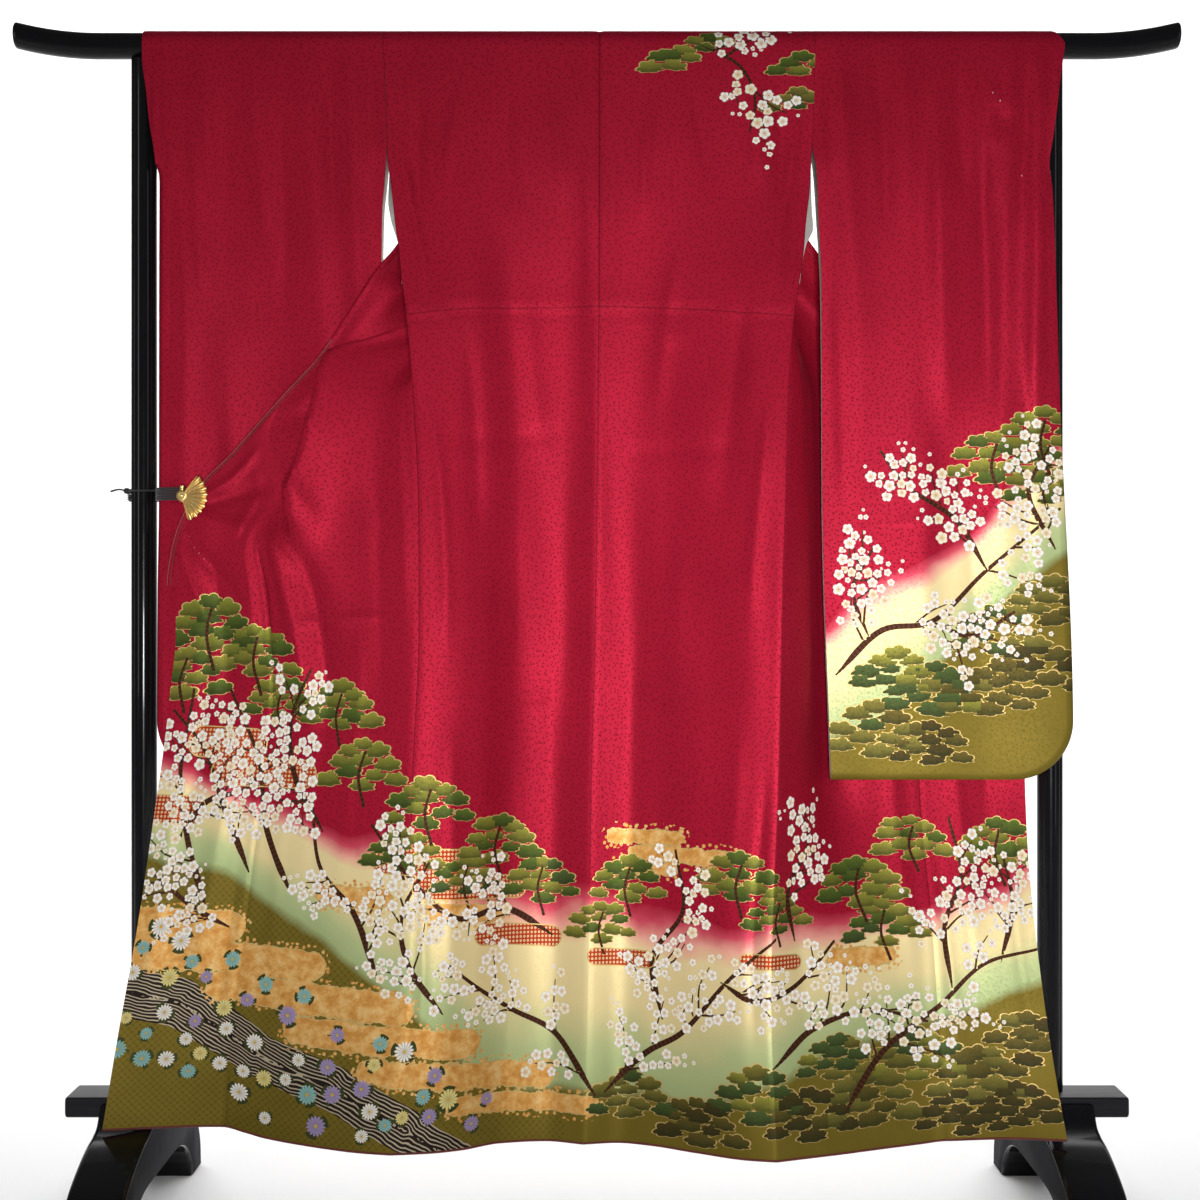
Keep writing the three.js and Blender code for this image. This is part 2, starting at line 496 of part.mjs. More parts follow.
// The sleeve's outer form, or with an inset the hollow in it. The two share their columns, so
// that the wall between them stays even; the hollow runs out past the cuff and the body side.
function sleeveShell(sleeve, side, pleats, inset) {
  const hollow = inset > 0;
  const radius = OVER_R + CLOTH / 2 - inset;
  const layerOffset = CLOTH / 2 - inset;
  const cornerR = SLEEVE_CORNER - inset;
  const cuff = (z, rear) => (rear ? sleeve.outerRear : sleeve.outer)(z);
  const past = (z) => (z > SLEEVE_NOTCH_Z ? CUFF_REACH : -inset);
  const middle = (share) => (z, rear) => lerp(sleeve.inner(z), cuff(z, rear), share(z));
  const sheet = [
    (z) => sleeve.inner(z) - (hollow ? side * CUFF_REACH : 0),
    ...sleeveColumns(sleeve, side, pleats).map(middle),
    (z, rear) => cuff(z, rear) + (hollow ? side * past(z) : 0),
  ];
  const cornerRise = (x) => {
    const away = Math.abs(sleeve.outer(SLEEVE_BOTTOM_Z) - side * inset - x);
    return away >= cornerR ? 0 : cornerR - Math.sqrt(Math.max(0, cornerR ** 2 - (cornerR - away) ** 2));
  };
  const layer = (column, rear) => {
    const low = SLEEVE_BOTTOM_Z + inset + cornerRise(column(SLEEVE_HEIGHTS[0], rear));
    const heights = [...SLEEVE_LOW_SHARES.map((t) => lerp(low, SLEEVE_HEIGHTS[0], t)), ...SLEEVE_HEIGHTS];
    return heights.map((z) => {
      const x = column(z, rear);
      const across = clamp01((x - sleeve.inner(z)) / (cuff(z, rear) - sleeve.inner(z)));
      const blend = clamp01((across - 0.72) / 0.28) ** 2;
      const depth = rear ? lerp(sleeve.rearInner(z), sleeve.rearOuter(z), blend)
        : sleeve.front(z) + pleatDepth(pleats, x, z);
      return [x, -(depth + (rear ? -layerOffset : layerOffset)), z];
    });
  };
  const arc = (column) => Array.from({ length: ARC_ROWS - 1 }, (_, i) => {
    const turn = (i + 1) / ARC_ROWS;
    const x = lerp(column(RAIL_Z, false), column(RAIL_Z, true), turn);
    return [x, -radius * Math.cos(turn * Math.PI), RAIL_Z + radius * Math.sin(turn * Math.PI)];
  });
  return closedLoft(sheet.map((column) => (
    [...layer(column, false), ...arc(column), ...layer(column, true).reverse()])));
}

// A closed solid through rings of equal length, with flat ends paired across the ring.
function closedLoft(loops) {
  const n = loops[0].length;
  const points = loops.flat();
  const faces = [];
  const id = (c, i) => c * n + (i % n);
  for (let c = 0; c < loops.length - 1; c++) {
    for (let i = 0; i < n; i++) {
      faces.push([id(c, i), id(c + 1, i), id(c + 1, i + 1)], [id(c, i), id(c + 1, i + 1), id(c, i + 1)]);
    }
  }
  for (const [c, turned] of [[0, false], [loops.length - 1, true]]) {
    for (let i = 0; i < Math.floor(n / 2); i++) {
      const a = id(c, i);
      const b = id(c, i + 1);
      const p = id(c, n - 1 - i);
      const q = id(c, n - 2 - i);
      const two = [[a, b, q], [a, q, p]].filter((face) => new Set(face).size === 3);
      faces.push(...(turned ? two.map(([x, y, z]) => [x, z, y]) : two));
    }
  }
  return outward(points, faces);
}

function sleeve(spec, side, pleats) {
  const outside = toManifold(sleeveShell(spec, side, pleats, 0));
  const inside = toManifold(sleeveShell(spec, side, pleats, CLOTH));
  return fromManifold(outside.subtract(inside));
}

// ---------------------------------------------------------------- the group
const cloth = (color) => new THREE.MeshStandardMaterial({ color, roughness: 0.62, metalness: 0 });
const lacquer = () => new THREE.MeshStandardMaterial({ color: 0x0b0b0d, roughness: 0.14, metalness: 0 });
const gold = () => new THREE.MeshStandardMaterial({ color: 0xc9a24a, roughness: 0.3, metalness: 1 });
const silkCord = () => new THREE.MeshStandardMaterial({ color: 0x101014, roughness: 0.8, metalness: 0 });

const kimono = new THREE.Group();
const CRIMSON = 0xa81930;

function add(name, geometry, material) {
  const mesh = new THREE.Mesh(geometry, material);
  mesh.name = name;
  kimono.add(mesh);
  return mesh;
}

add('body_left', bodyGrid(-1, LEFT_BACK_SWEEP, LEFT), cloth(CRIMSON));
add('body_right', bodyGrid(1, RIGHT_BACK_SWEEP, RIGHT), cloth(CRIMSON));
add('okumi_left', okumiGrid(LEFT), cloth(CRIMSON));
add('okumi_right', okumiGrid(RIGHT), cloth(CRIMSON));
add('collar', collarGrid(), cloth(CRIMSON));
add('sleeve_left', sleeve(LEFT_SLEEVE, -1, LEFT_SLEEVE_PLEATS), cloth(CRIMSON));
add('sleeve_right', sleeve(RIGHT_SLEEVE, 1, RIGHT_SLEEVE_PLEATS), cloth(CRIMSON));

// ---------------------------------------------------------------- stand
const RAIL_STEPS = 10;

function railGeometry() {
  const straight = RAIL_HALF - RAIL_LIFT_LENGTH;
  const height = (x) => RAIL_LIFT * clamp01((Math.abs(x) - straight) / RAIL_LIFT_LENGTH) ** 2;
  const xs = [];
  for (let i = 0; i <= RAIL_STEPS; i++) xs.push(-RAIL_HALF + (RAIL_LIFT_LENGTH * i) / RAIL_STEPS);
  const stations = [...xs, ...xs.map((x) => -x).reverse()];
  const rings = stations.map((x) => Array.from({ length: RAIL_SIDES }, (_, i) => {
    const a = (2 * Math.PI * (i + 0.5)) / RAIL_SIDES;
    return [x, RAIL_R * Math.cos(a), RAIL_Z + height(x) + RAIL_R * Math.sin(a)];
  }));
  return closedLoft(rings);
}
add('rail', railGeometry(), lacquer());

function lobedShape(half) {
  const shape = new THREE.Shape();
  for (let i = 0; i < POST_SIDES; i++) {
    const a = (2 * Math.PI * i) / POST_SIDES + Math.PI / 4;
    const r = half * (1 - LOBE_DEPTH + LOBE_DEPTH * Math.cos(POST_LOBES * a));
    const draw = i === 0 ? 'moveTo' : 'lineTo';
    shape[draw](r * Math.cos(a), r * Math.sin(a));
  }
  shape.closePath();
  return shape;
}
const POST_TOP = RAIL_Z - RAIL_R - SEAM_GAP;
for (const [name, side] of [['post_left', -1], ['post_right', 1]]) {
  const depth = POST_TOP - BAR_TOP - SEAM_GAP;
  const post = new THREE.ExtrudeGeometry(lobedShape(POST_HALF), { depth, bevelEnabled: false });
  add(name, post, lacquer()).position.set(side * POST_X, 0, BAR_TOP + SEAM_GAP);
}

function barShape() {
  const shape = new THREE.Shape();
  const w = BAR_DEPTH / 2;
  const h = (BAR_TOP - BAR_BOTTOM) / 2;
  const r = BAR_ROUND;
  shape.moveTo(-w + r, -h);
  shape.lineTo(w - r, -h);
  shape.lineTo(w, -h + r);
  shape.lineTo(w, h - r);
  shape.lineTo(w - r, h);
  shape.lineTo(-w + r, h);
  shape.lineTo(-w, h - r);
  shape.lineTo(-w, -h + r);
  shape.closePath();
  return shape;
}
const bar = new THREE.ExtrudeGeometry(barShape(), { depth: 2 * BAR_HALF, bevelEnabled: false });
bar.rotateX(Math.PI / 2);
bar.rotateZ(Math.PI / 2);
add('cross_plank', bar, new THREE.MeshStandardMaterial({ color: 0x17171a, roughness: 0.35, metalness: 0 }))
  .position.set(-BAR_HALF, 0, (BAR_BOTTOM + BAR_TOP) / 2);

// Half outline of a foot seen from the side: distance from the post, height.
const FOOT_TOP = [
  [0, 155.7], [40.3, 155.7], [40.3, 177], [48, 174], [58, 163], [68, 152], [90, 145], [128, 138],
  [180, 122],
  [232, 99], [266, 72], [286, 36], [290, 0],
];
const FOOT_UNDER = [[222, 0], [212, 22], [190, 44], [160, 60], [125, 69], [90, 72], [0, 72]];

function footGeometry() {
  const shape = new THREE.Shape();
  const right = [...FOOT_TOP, ...FOOT_UNDER];
  const left = right.map(([y, z]) => [-y, z]).reverse().filter(([y]) => y !== 0);
  [...right, ...left].forEach(([y, z], i) => (i === 0 ? shape.moveTo(y, z) : shape.lineTo(y, z)));
  shape.closePath();
  const foot = new THREE.ExtrudeGeometry(shape, { depth: FOOT_WIDTH, bevelEnabled: false });
  foot.rotateX(Math.PI / 2);
  foot.rotateZ(Math.PI / 2);
  return foot;
}
for (const [name, side] of [['foot_left', -1], ['foot_right', 1]]) {
  add(name, footGeometry(), lacquer()).position.set(side * FOOT_X - FOOT_WIDTH / 2, 0, 0);
}

// ---------------------------------------------------------------- fan clip and its cord
const CLIP = new THREE.Vector3(-592, -45.1, 1046);   // middle of the hinge barrel
const BARREL_R = 4.2;
const BARREL_LENGTH = 24;
const FAN_R = 37;
const FAN_FROM = -75;            // degrees from level, downwards
const FAN_TO = 52;
const FAN_PLEATS = 9;
const FAN_PLEAT_DEPTH = 2.2;
const FAN_PLATE = 1.3;
const FAN_ROOT_R = 6;
const HUB_LENGTH = 3.2;
const HUB_OVERHANG = 1.4;        // hub beyond the fan's root
const JAW_LENGTH = 33;
const JAW_HEIGHT = 13;
const JAW_PLATE = 1.8;

// Pleated half-round plate: ridges and valleys run from the pivot to the rim.
function fanGeometry() {
  const steps = FAN_PLEATS * 2;
  const rings = [];
  for (let i = 0; i <= steps; i++) {
    const a = THREE.MathUtils.degToRad(lerp(FAN_FROM, FAN_TO, i / steps));
    const ridge = i % 2 === 1;
    const reach = FAN_R - (ridge ? 0 : FAN_PLEAT_DEPTH);
    const lift = ridge ? FAN_PLEAT_DEPTH : 0;
    const put = (r, y) => [CLIP.x + r * Math.cos(a), y, CLIP.z + r * Math.sin(a)];
    const back = CLIP.y - BARREL_R - SEAM_GAP - 1.2;
    rings.push([
      put(FAN_ROOT_R, back), put(reach, back - lift),
      put(reach, back - lift - FAN_PLATE), put(FAN_ROOT_R, back - FAN_PLATE - 0.4),
    ]);
  }
  return closedLoft(rings);
}

function drum(radius, length, sides, axis) {
  const geometry = new THREE.CylinderGeometry(radius, radius, length, sides);
  if (axis === 'z') geometry.rotateX(Math.PI / 2);
  return geometry;
}

const fanPlate = toManifold(fanGeometry());
const hub = drum(FAN_ROOT_R + HUB_OVERHANG, HUB_LENGTH, 20, 'y');
hub.translate(CLIP.x, CLIP.y - BARREL_R - SEAM_GAP - HUB_LENGTH / 2, CLIP.z);
add('clip_fan', fromManifold(fanPlate.add(toManifold(hub))), gold());

const barrel = drum(BARREL_R, BARREL_LENGTH, 20, 'z');
barrel.translate(CLIP.x, CLIP.y, CLIP.z + 3);
add('clip_hinge', barrel, gold());

const backJaw = new THREE.BoxGeometry(JAW_LENGTH, JAW_PLATE, JAW_HEIGHT);
backJaw.translate(CLIP.x + JAW_LENGTH / 2 - BARREL_R, CLIP.y + BARREL_R + SEAM_GAP + JAW_PLATE / 2, CLIP.z);
add('clip_back_jaw', backJaw, gold());

const STRANDS = 5;
const STRAND_R = 1.7;
const CORD_SIDES = 8;
const STRAND_PITCH = 3.8;
const CORD_Z = 1041.4;           // lowest strand
const STRAND_ROUTE = [
  [CLIP.x - BARREL_R - SEAM_GAP, -44], [-612, -42], [-626, -35], [-633.6, -24], [-635.2, -10],
  [-636, 4], [-640, 14],
  [-649, 20.6], [-659, 21], [-668, 18.6], [-675, 12], [-678, 3],
];

// A round cord through points, as a closed tube.
function cordTube(points, radius, sides) {
  const rings = points.map((p, i) => {
    const before = points[Math.max(0, i - 1)];
    const after = points[Math.min(points.length - 1, i + 1)];
    const way = after.clone().sub(before).normalize();
    const up = new THREE.Vector3(0, 0, 1);
    const across = way.clone().cross(up).normalize();
    return Array.from({ length: sides }, (_, s) => {
      const a = (2 * Math.PI * (s + 0.5)) / sides;
      const out = across.clone().multiplyScalar(Math.cos(a)).addScaledVector(up, Math.sin(a));
      return p.clone().addScaledVector(out, radius).toArray();
    });
  });
  return closedLoft(rings);
}

for (let i = 0; i < STRANDS; i++) {
  const z = CORD_Z + i * STRAND_PITCH;
  const route = STRAND_ROUTE.map(([x, y]) => new THREE.Vector3(x, y, z));
  add(`cord_strand_${i + 1}`, cordTube(route, STRAND_R, CORD_SIDES), silkCord());
}

// The end of the cord crosses the front of the post to the knot at its far side.
const FRONT_CORD_Z = 1055;
const FRONT_CORD_R = 1.2;
const frontRoute = [
  [-636.4, -16], [-642, -16.2], [-649.2, -18.9], [-656.5, -20.1], [-663.8, -18.9], [-670.8, -15.2],
  [-676.9, -10.1],
];
const frontCord = frontRoute.map(([x, y]) => new THREE.Vector3(x, y, FRONT_CORD_Z));
add('cord_front', cordTube(frontCord, FRONT_CORD_R, CORD_SIDES), silkCord());

const whipping = drum(2.6, STRANDS * STRAND_PITCH, 14, 'z');
whipping.translate(-677.95, -0.1, CORD_Z + 2 * STRAND_PITCH);
const knot = new THREE.SphereGeometry(5, 14, 10);
knot.translate(-680.5, -6.2, FRONT_CORD_Z);
const tailRoute = [[-681.5, -6.4, 1055], [-691.5, -7, 1057], [-703.5, -7.5, 1054]];
const tail = cordTube(tailRoute.map((p) => new THREE.Vector3(...p)), FRONT_CORD_R, CORD_SIDES);
const knotted = toManifold(whipping).add(toManifold(knot)).add(toManifold(tail));
add('cord_knot', fromManifold(knotted), silkCord());

export default kimono;
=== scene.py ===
# A furisode, the long-sleeved formal kimono, hung by its back over a lacquered kimono stand with
# its fronts opened out beside the back. Metres, +Z up; the viewer stands on the -Y side.
import math

import bmesh
import bpy
import numpy as np
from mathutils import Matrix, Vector


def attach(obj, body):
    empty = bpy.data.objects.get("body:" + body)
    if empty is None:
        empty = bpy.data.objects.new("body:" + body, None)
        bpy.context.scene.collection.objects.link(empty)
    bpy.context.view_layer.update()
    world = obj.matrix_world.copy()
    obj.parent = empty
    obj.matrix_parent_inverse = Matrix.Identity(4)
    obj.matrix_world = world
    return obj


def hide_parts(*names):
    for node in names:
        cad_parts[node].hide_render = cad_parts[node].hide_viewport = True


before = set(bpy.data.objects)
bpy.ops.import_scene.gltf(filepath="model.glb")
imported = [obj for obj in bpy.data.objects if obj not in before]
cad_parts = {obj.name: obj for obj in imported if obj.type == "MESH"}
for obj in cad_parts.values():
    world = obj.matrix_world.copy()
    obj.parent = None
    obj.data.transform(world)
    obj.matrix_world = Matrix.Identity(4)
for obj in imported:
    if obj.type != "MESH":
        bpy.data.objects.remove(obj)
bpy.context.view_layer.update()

# ---------------------------------------------------------------- view, floor and light
# A level camera at the middle of the garment's height, a pale paper sweep for floor and far
# backdrop, and large soft boxes at both sides that draw long highlights on the lacquer.
camera = bpy.data.objects.new("camera", bpy.data.cameras.new("camera"))
bpy.context.collection.objects.link(camera)
bpy.context.scene.camera = camera
FRAME_PIXELS, LENS_PIXELS, SENSOR_MM = 1200, 2069, 36
camera.location = (0.00435, -3.0, 0.9)
camera.rotation_euler = (math.pi / 2, 0, 0)
camera.data.sensor_width = SENSOR_MM
camera.data.lens = SENSOR_MM * LENS_PIXELS / FRAME_PIXELS
camera.data.shift_y = -2 / FRAME_PIXELS
bpy.context.scene.view_settings.view_transform = "Standard"


class Thread:
    """A value on its way through a finish's nodes; arithmetic on it adds Math nodes."""

    def __init__(self, finish, node, output=0):
        self.finish, self.node, self.socket = finish, node, node.outputs[output]

    def out(self, output):
        return Thread(self.finish, self.node, output)

    def math(self, operation, *others):
        inputs = dict(enumerate((self, *others)))
        return self.finish.node("ShaderNodeMath", {"operation": operation}, inputs)

    def back(self, operation, other):
        return self.finish.node("ShaderNodeMath", {"operation": operation}, {0: other, 1: self})

    def __add__(self, other):
        return self.math("ADD", other)

    def __radd__(self, other):
        return self.math("ADD", other)

    def __sub__(self, other):
        return self.math("SUBTRACT", other)

    def __rsub__(self, other):
        return self.back("SUBTRACT", other)

    def __mul__(self, other):
        return self.math("MULTIPLY", other)

    def __rmul__(self, other):
        return self.math("MULTIPLY", other)

    def __lt__(self, other):
        return self.math("LESS_THAN", other)

    def __gt__(self, other):
        return self.math("GREATER_THAN", other)

    def clamp(self):
        return self.math("MAXIMUM", 0.0).math("MINIMUM", 1.0)


class Finish:
    """A material put together from nodes, with one principled surface."""

    def __init__(self, name, **constants):
        self.material = bpy.data.materials.new(name)
        self.material.use_nodes = True
        self.tree = self.material.node_tree
        self.tree.nodes.clear()
        self.surface = self.tree.nodes.new("ShaderNodeBsdfPrincipled")
        ends = self.tree.nodes.new("ShaderNodeOutputMaterial")
        self.tree.links.new(self.surface.outputs[0], ends.inputs["Surface"])
        for socket, value in constants.items():
            self.surface.inputs[socket.replace("_", " ")].default_value = value

    def node(self, kind, settings=None, inputs=None, output=0):
        made = self.tree.nodes.new(kind)
        for key, value in (settings or {}).items():
            if key == "stops":
                ramp = made.color_ramp
                while len(ramp.elements) < len(value):
                    ramp.elements.new(0.5)
                for stop, (place, colour) in zip(ramp.elements, value):
                    stop.position, stop.color = place, (*colour, 1)
            elif key == "interpolation":
                made.color_ramp.interpolation = value
            else:
                setattr(made, key, value)
        for key, value in (inputs or {}).items():
            if isinstance(value, Thread):
                self.tree.links.new(value.socket, made.inputs[key])
            else:
                made.inputs[key].default_value = value
        return Thread(self, made, output)

    def mix(self, factor, first, second):
        colour = lambda c: c if isinstance(c, Thread) else (*c, 1)
        inputs = {0: factor, 6: colour(first), 7: colour(second)}
        return self.node("ShaderNodeMix", {"data_type": "RGBA"}, inputs, 2)

    def place(self):
        return self.node("ShaderNodeTexCoord", output=3)

    def noise(self, scale, detail=2.0, vector=None, roughness=0.5):
        inputs = {"Vector": vector or self.place(), "Scale": scale, "Detail": detail, "Roughness": roughness}
        return self.node("ShaderNodeTexNoise", None, inputs)

    def cells(self, scale, vector, **more):
        inputs = {"Vector": vector, "Scale": scale, **more}
        return self.node("ShaderNodeTexVoronoi", {"voronoi_dimensions": "2D"}, inputs)

    def ramp(self, factor, stops, interpolation="LINEAR"):
        """Dyes chosen by a value; stops are rows of place, red, green, blue."""
        stops = [(place, dye(*colour)) for place, *colour in stops]
        settings = {"stops": stops, "interpolation": interpolation}
        return self.node("ShaderNodeValToRGB", settings, {"Fac": factor})

    def feed(self, socket, thread):
        self.tree.links.new(thread.socket, self.surface.inputs[socket])

    def bump(self, height, strength, distance):
        inputs = {"Height": height, "Strength": strength, "Distance": distance}
        self.feed("Normal", self.node("ShaderNodeBump", None, inputs))

    def varied(self, first, second, mottle, rough, grain, vector=None):
        """Two clouded colours, uneven roughness and a fine grain.

        mottle: scale, detail. rough: scale, detail, spread, least. grain: scale, detail, strength, depth.
        """
        self.feed("Base Color", self.mix(self.noise(*mottle, vector), first, second))
        self.feed("Roughness", self.noise(*rough[:2], vector) * rough[2] + rough[3])
        self.bump(self.noise(*grain[:2], vector), *grain[2:])


def dye(red, green, blue):
    """Linear colour from the 0-255 values that a colour card gives."""
    channels = (v / 255 for v in (red, green, blue))
    return tuple(c / 12.92 if c <= 0.04045 else ((c + 0.055) / 1.055) ** 2.4 for c in channels)


def mesh_piece(name, points, faces, finishes, face_finish=None, crease=40):
    """An object at the origin from points in metres; finishes are its materials."""
    mesh = bpy.data.meshes.new(name)
    mesh.from_pydata([tuple(p) for p in points], [], [tuple(f) for f in faces])
    for finish in finishes:
        mesh.materials.append(finish.material)
    if face_finish is not None:
        mesh.polygons.foreach_set("material_index", np.asarray(face_finish, dtype=np.int32))
    mesh.polygons.foreach_set("use_smooth", np.ones(len(mesh.polygons), dtype=bool))
    mesh.update()
    mesh.set_sharp_from_angle(angle=math.radians(crease))
    made = bpy.data.objects.new(name, mesh)
    bpy.context.collection.objects.link(made)
    return made


paper = Finish("paper_sweep", Roughness=0.75)
paper.feed("Base Color", paper.mix(paper.noise(1.3, 3.0), dye(243, 243, 243), dye(247, 247, 248)))
SWEEP_FRONT, SWEEP_BEND, BEND_R, SWEEP_TOP, SWEEP_HALF = -5.5, 3.9, 1.4, 7.0, 8.0
sweep_profile = [(SWEEP_FRONT, 0.0), (SWEEP_BEND, 0.0)]
sweep_profile += [(SWEEP_BEND + BEND_R * math.sin(a), BEND_R - BEND_R * math.cos(a))
                  for a in np.linspace(0.1, math.pi / 2, 14)]
sweep_profile += [(SWEEP_BEND + BEND_R, SWEEP_TOP)]
sweep_points = [(x, y, z) for y, z in sweep_profile for x in (-SWEEP_HALF, SWEEP_HALF)]
sweep_faces = [(2 * i, 2 * i + 1, 2 * i + 3, 2 * i + 2) for i in range(len(sweep_profile) - 1)]
mesh_piece("paper_sweep", sweep_points, sweep_faces, [paper])

world = bpy.data.worlds.new("studio")
bpy.context.scene.world = world
world.use_nodes = True
sky = world.node_tree.nodes["Background"].inputs
sky["Color"].default_value, sky["Strength"].default_value = (1.0, 1.0, 1.0, 1), 0.12
# Columns: name, place, point it faces, width, height, watts.
SOFT_BOXES = (
    ("soft_box_left", (-2.9, -2.2, 1.5), (0.0, 0.0, 0.95), 0.7, 1.8, 13),
    ("soft_box_right", (3.1, -2.2, 1.3), (0.1, 0.0, 0.9), 0.6, 2.2, 10),
    ("soft_box_top", (-0.3, -2.4, 3.2), (0.0, 0.0, 0.9), 1.6, 0.9, 6),
    ("backdrop_light", (0.0, 3.6, 4.1), (0.0, 5.3, 1.4), 7.0, 1.0, 190),
    ("backdrop_light_low", (0.0, 2.1, 3.2), (0.0, 2.3, 0.0), 7.0, 2.4, 150),
)


def lamp(kind, name, place, target, watts):
    light = bpy.data.objects.new(name, bpy.data.lights.new(name, kind))
    bpy.context.collection.objects.link(light)
    light.data.energy, light.location = watts, place
    light.rotation_euler = (Vector(target) - Vector(place)).to_track_quat("-Z", "Y").to_euler()
    return light


for name, place, target, width, height, watts in SOFT_BOXES:
    box = lamp("AREA", name, place, target, watts)
    box.data.shape, box.data.size, box.data.size_y = "RECTANGLE", width, height
    box.visible_glossy = not name.startswith("backdrop")
# Three soft spots from beside the camera draw the silk's broad sheen at the garment's middle.
# Columns: name, x it is aimed at, watts.
FRONT_SPOTS = (("front_spot_left", -0.66, 116), ("front_spot_middle", 0.06, 114),
               ("front_spot_right", 0.72, 222))
for name, x, watts in FRONT_SPOTS:
    spot = lamp("SPOT", name, (0.2 + 0.5 * x, -3.5, 0.72), (x, 0.0, 0.90), watts)
    spot.data.spot_size, spot.data.spot_blend, spot.data.shadow_soft_size = math.radians(41), 1.0, 0.16

# ---------------------------------------------------------------- rail
# The stand's top rail is a round turned bar with upturned tips, in many coats of black lacquer
# polished to a mirror; the kimono rides on it.
lacquer = Finish("black_lacquer", Metallic=0.0, Coat_Weight=0.2, Coat_Roughness=0.03, Specular_IOR_Level=0.1)
lacquer.varied((0.0035, 0.0035, 0.0045), (0.008, 0.008, 0.0095), (7.0, 4.0), (38.0, 3.0, 0.12, 0.10),
               (95.0, 2.0, 0.05, 0.0004))


def ring_sweep(rings):
    """Points and faces of a body through rings of equal length, with both ends closed."""
    rings = np.asarray(rings, dtype=float)
    count, around = rings.shape[:2]
    faces = [
        (r * around + i, r * around + (i + 1) % around, (r + 1) * around + (i + 1) % around,
         (r + 1) * around + i)
        for r in range(count - 1) for i in range(around)
    ]
    faces.append(tuple(range(around))[::-1])
    faces.append(tuple((count - 1) * around + i for i in range(around)))
    return rings.reshape(-1, 3), faces


def outwards(piece):
    """Turns a closed mesh's faces to look out, after its doubles are merged."""
    made = bmesh.new()
    made.from_mesh(piece.data)
    bmesh.ops.remove_doubles(made, verts=made.verts, dist=1e-6)
    bmesh.ops.recalc_face_normals(made, faces=made.faces)
    made.to_mesh(piece.data)
    made.free()
    return piece


def fitted(piece, node):
    """A piece that rides on the stand in place of its solid."""
    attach(piece, "root")
    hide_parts(node)


RAIL_Z, RAIL_R, RAIL_HALF = 1.700, 0.019, 0.843
RAIL_LIFT, RAIL_LIFT_LENGTH = 0.016, 0.125
rail_stops = np.concatenate([
    [-RAIL_HALF, -RAIL_HALF + 0.0008, -RAIL_HALF + 0.0025],
    np.linspace(-RAIL_HALF + 0.006, -RAIL_HALF + RAIL_LIFT_LENGTH, 24),
    [0.0],
])
rail_stops = np.concatenate([rail_stops, -rail_stops[-2::-1]])
rail_rings = []
for x in rail_stops:
    past = max(0.0, (abs(x) - RAIL_HALF + RAIL_LIFT_LENGTH) / RAIL_LIFT_LENGTH)
    end = RAIL_HALF - abs(x)
    radius = RAIL_R - 0.0022 * max(0.0, 1 - end / 0.0026) ** 2
    turn = np.linspace(0, 2 * math.pi, 64, endpoint=False)
    middle = RAIL_Z + RAIL_LIFT * past ** 2
    rail_rings.append(np.stack([np.full(64, x), radius * np.cos(turn), middle + radius * np.sin(turn)], 1))
fitted(outwards(mesh_piece("rail_lacquered", *ring_sweep(rail_rings), [lacquer])), "rail")

# ---------------------------------------------------------------- posts
# Two posts of four round lobes, planed from one length of wood each and lacquered; they stand
# in the cross plank and carry the rail. Each lobe holds a long thin highlight.
POST_X, POST_HALF, POST_LOBES = 0.6565, 0.0185, 4
POST_FOOT, POST_TOP = 0.1853, 1.6807
for name, side in (("post_left", -1), ("post_right", 1)):
    turn = np.linspace(0, 2 * math.pi, 96, endpoint=False)
    swell = POST_HALF * (0.90 + 0.10 * np.abs(np.cos(POST_LOBES * turn / 2)) ** 0.5)
    rings = []
    for z, inset in ((POST_FOOT, 0.0008), (POST_FOOT + 0.001, 0.0), (0.6, 0.0), (1.2, 0.0),
                     (POST_TOP - 0.001, 0.0), (POST_TOP, 0.0008)):
        r = swell - inset
        rings.append(np.stack([side * POST_X + r * np.cos(turn), r * np.sin(turn), np.full(96, z)], 1))
    post = outwards(mesh_piece(name + "_lacquered", *ring_sweep(rings), [lacquer], crease=35))
    fitted(post, name)

# ---------------------------------------------------------------- cross plank
# A flat plank joins the feet. Its lacquer is rubbed to a satin, so that it looks dark grey, and
# its long edges are softly rounded.
satin = Finish("satin_lacquer", Metallic=0.0, Coat_Weight=0.0, Coat_Roughness=0.25, Specular_IOR_Level=0.14)
along = satin.node("ShaderNodeMapping", None, {"Vector": satin.place(), "Scale": (0.6, 30.0, 30.0)})
satin.varied(dye(22, 22, 25), dye(36, 37, 41), (6.0, 5.0), (24.0, 3.0, 0.18, 0.30),
             (20.0, 4.0, 0.08, 0.0005), along)
PLANK_HALF, PLANK_DEPTH, PLANK_LOW, PLANK_HIGH, PLANK_ROUND = 0.762, 0.080, 0.156, 0.185, 0.004
corner = [(PLANK_ROUND * (1 - math.sin(a)), PLANK_ROUND * (1 - math.cos(a)))
          for a in np.linspace(0, math.pi / 2, 7)]
w, h, mid = PLANK_DEPTH / 2, (PLANK_HIGH - PLANK_LOW) / 2, (PLANK_HIGH + PLANK_LOW) / 2
outline = [(-w + a, -h + b) for a, b in corner] + [(-w + b, h - a) for a, b in corner]
outline += [(w - a, h - b) for a, b in corner] + [(w - b, -h + a) for a, b in corner]
rings = []
for x, inset in ((-PLANK_HALF, 0.003), (-PLANK_HALF + 0.0012, 0.0010), (-PLANK_HALF + 0.003, 0), (0, 0),
                 (PLANK_HALF - 0.003, 0), (PLANK_HALF - 0.0012, 0.0010), (PLANK_HALF, 0.003)):
    rings.append([(x, y * (1 - inset / w), mid + z * (1 - inset / h)) for y, z in outline])
plank = outwards(mesh_piece("cross_plank_satin", *ring_sweep(rings), [satin]))
fitted(plank, "cross_plank")

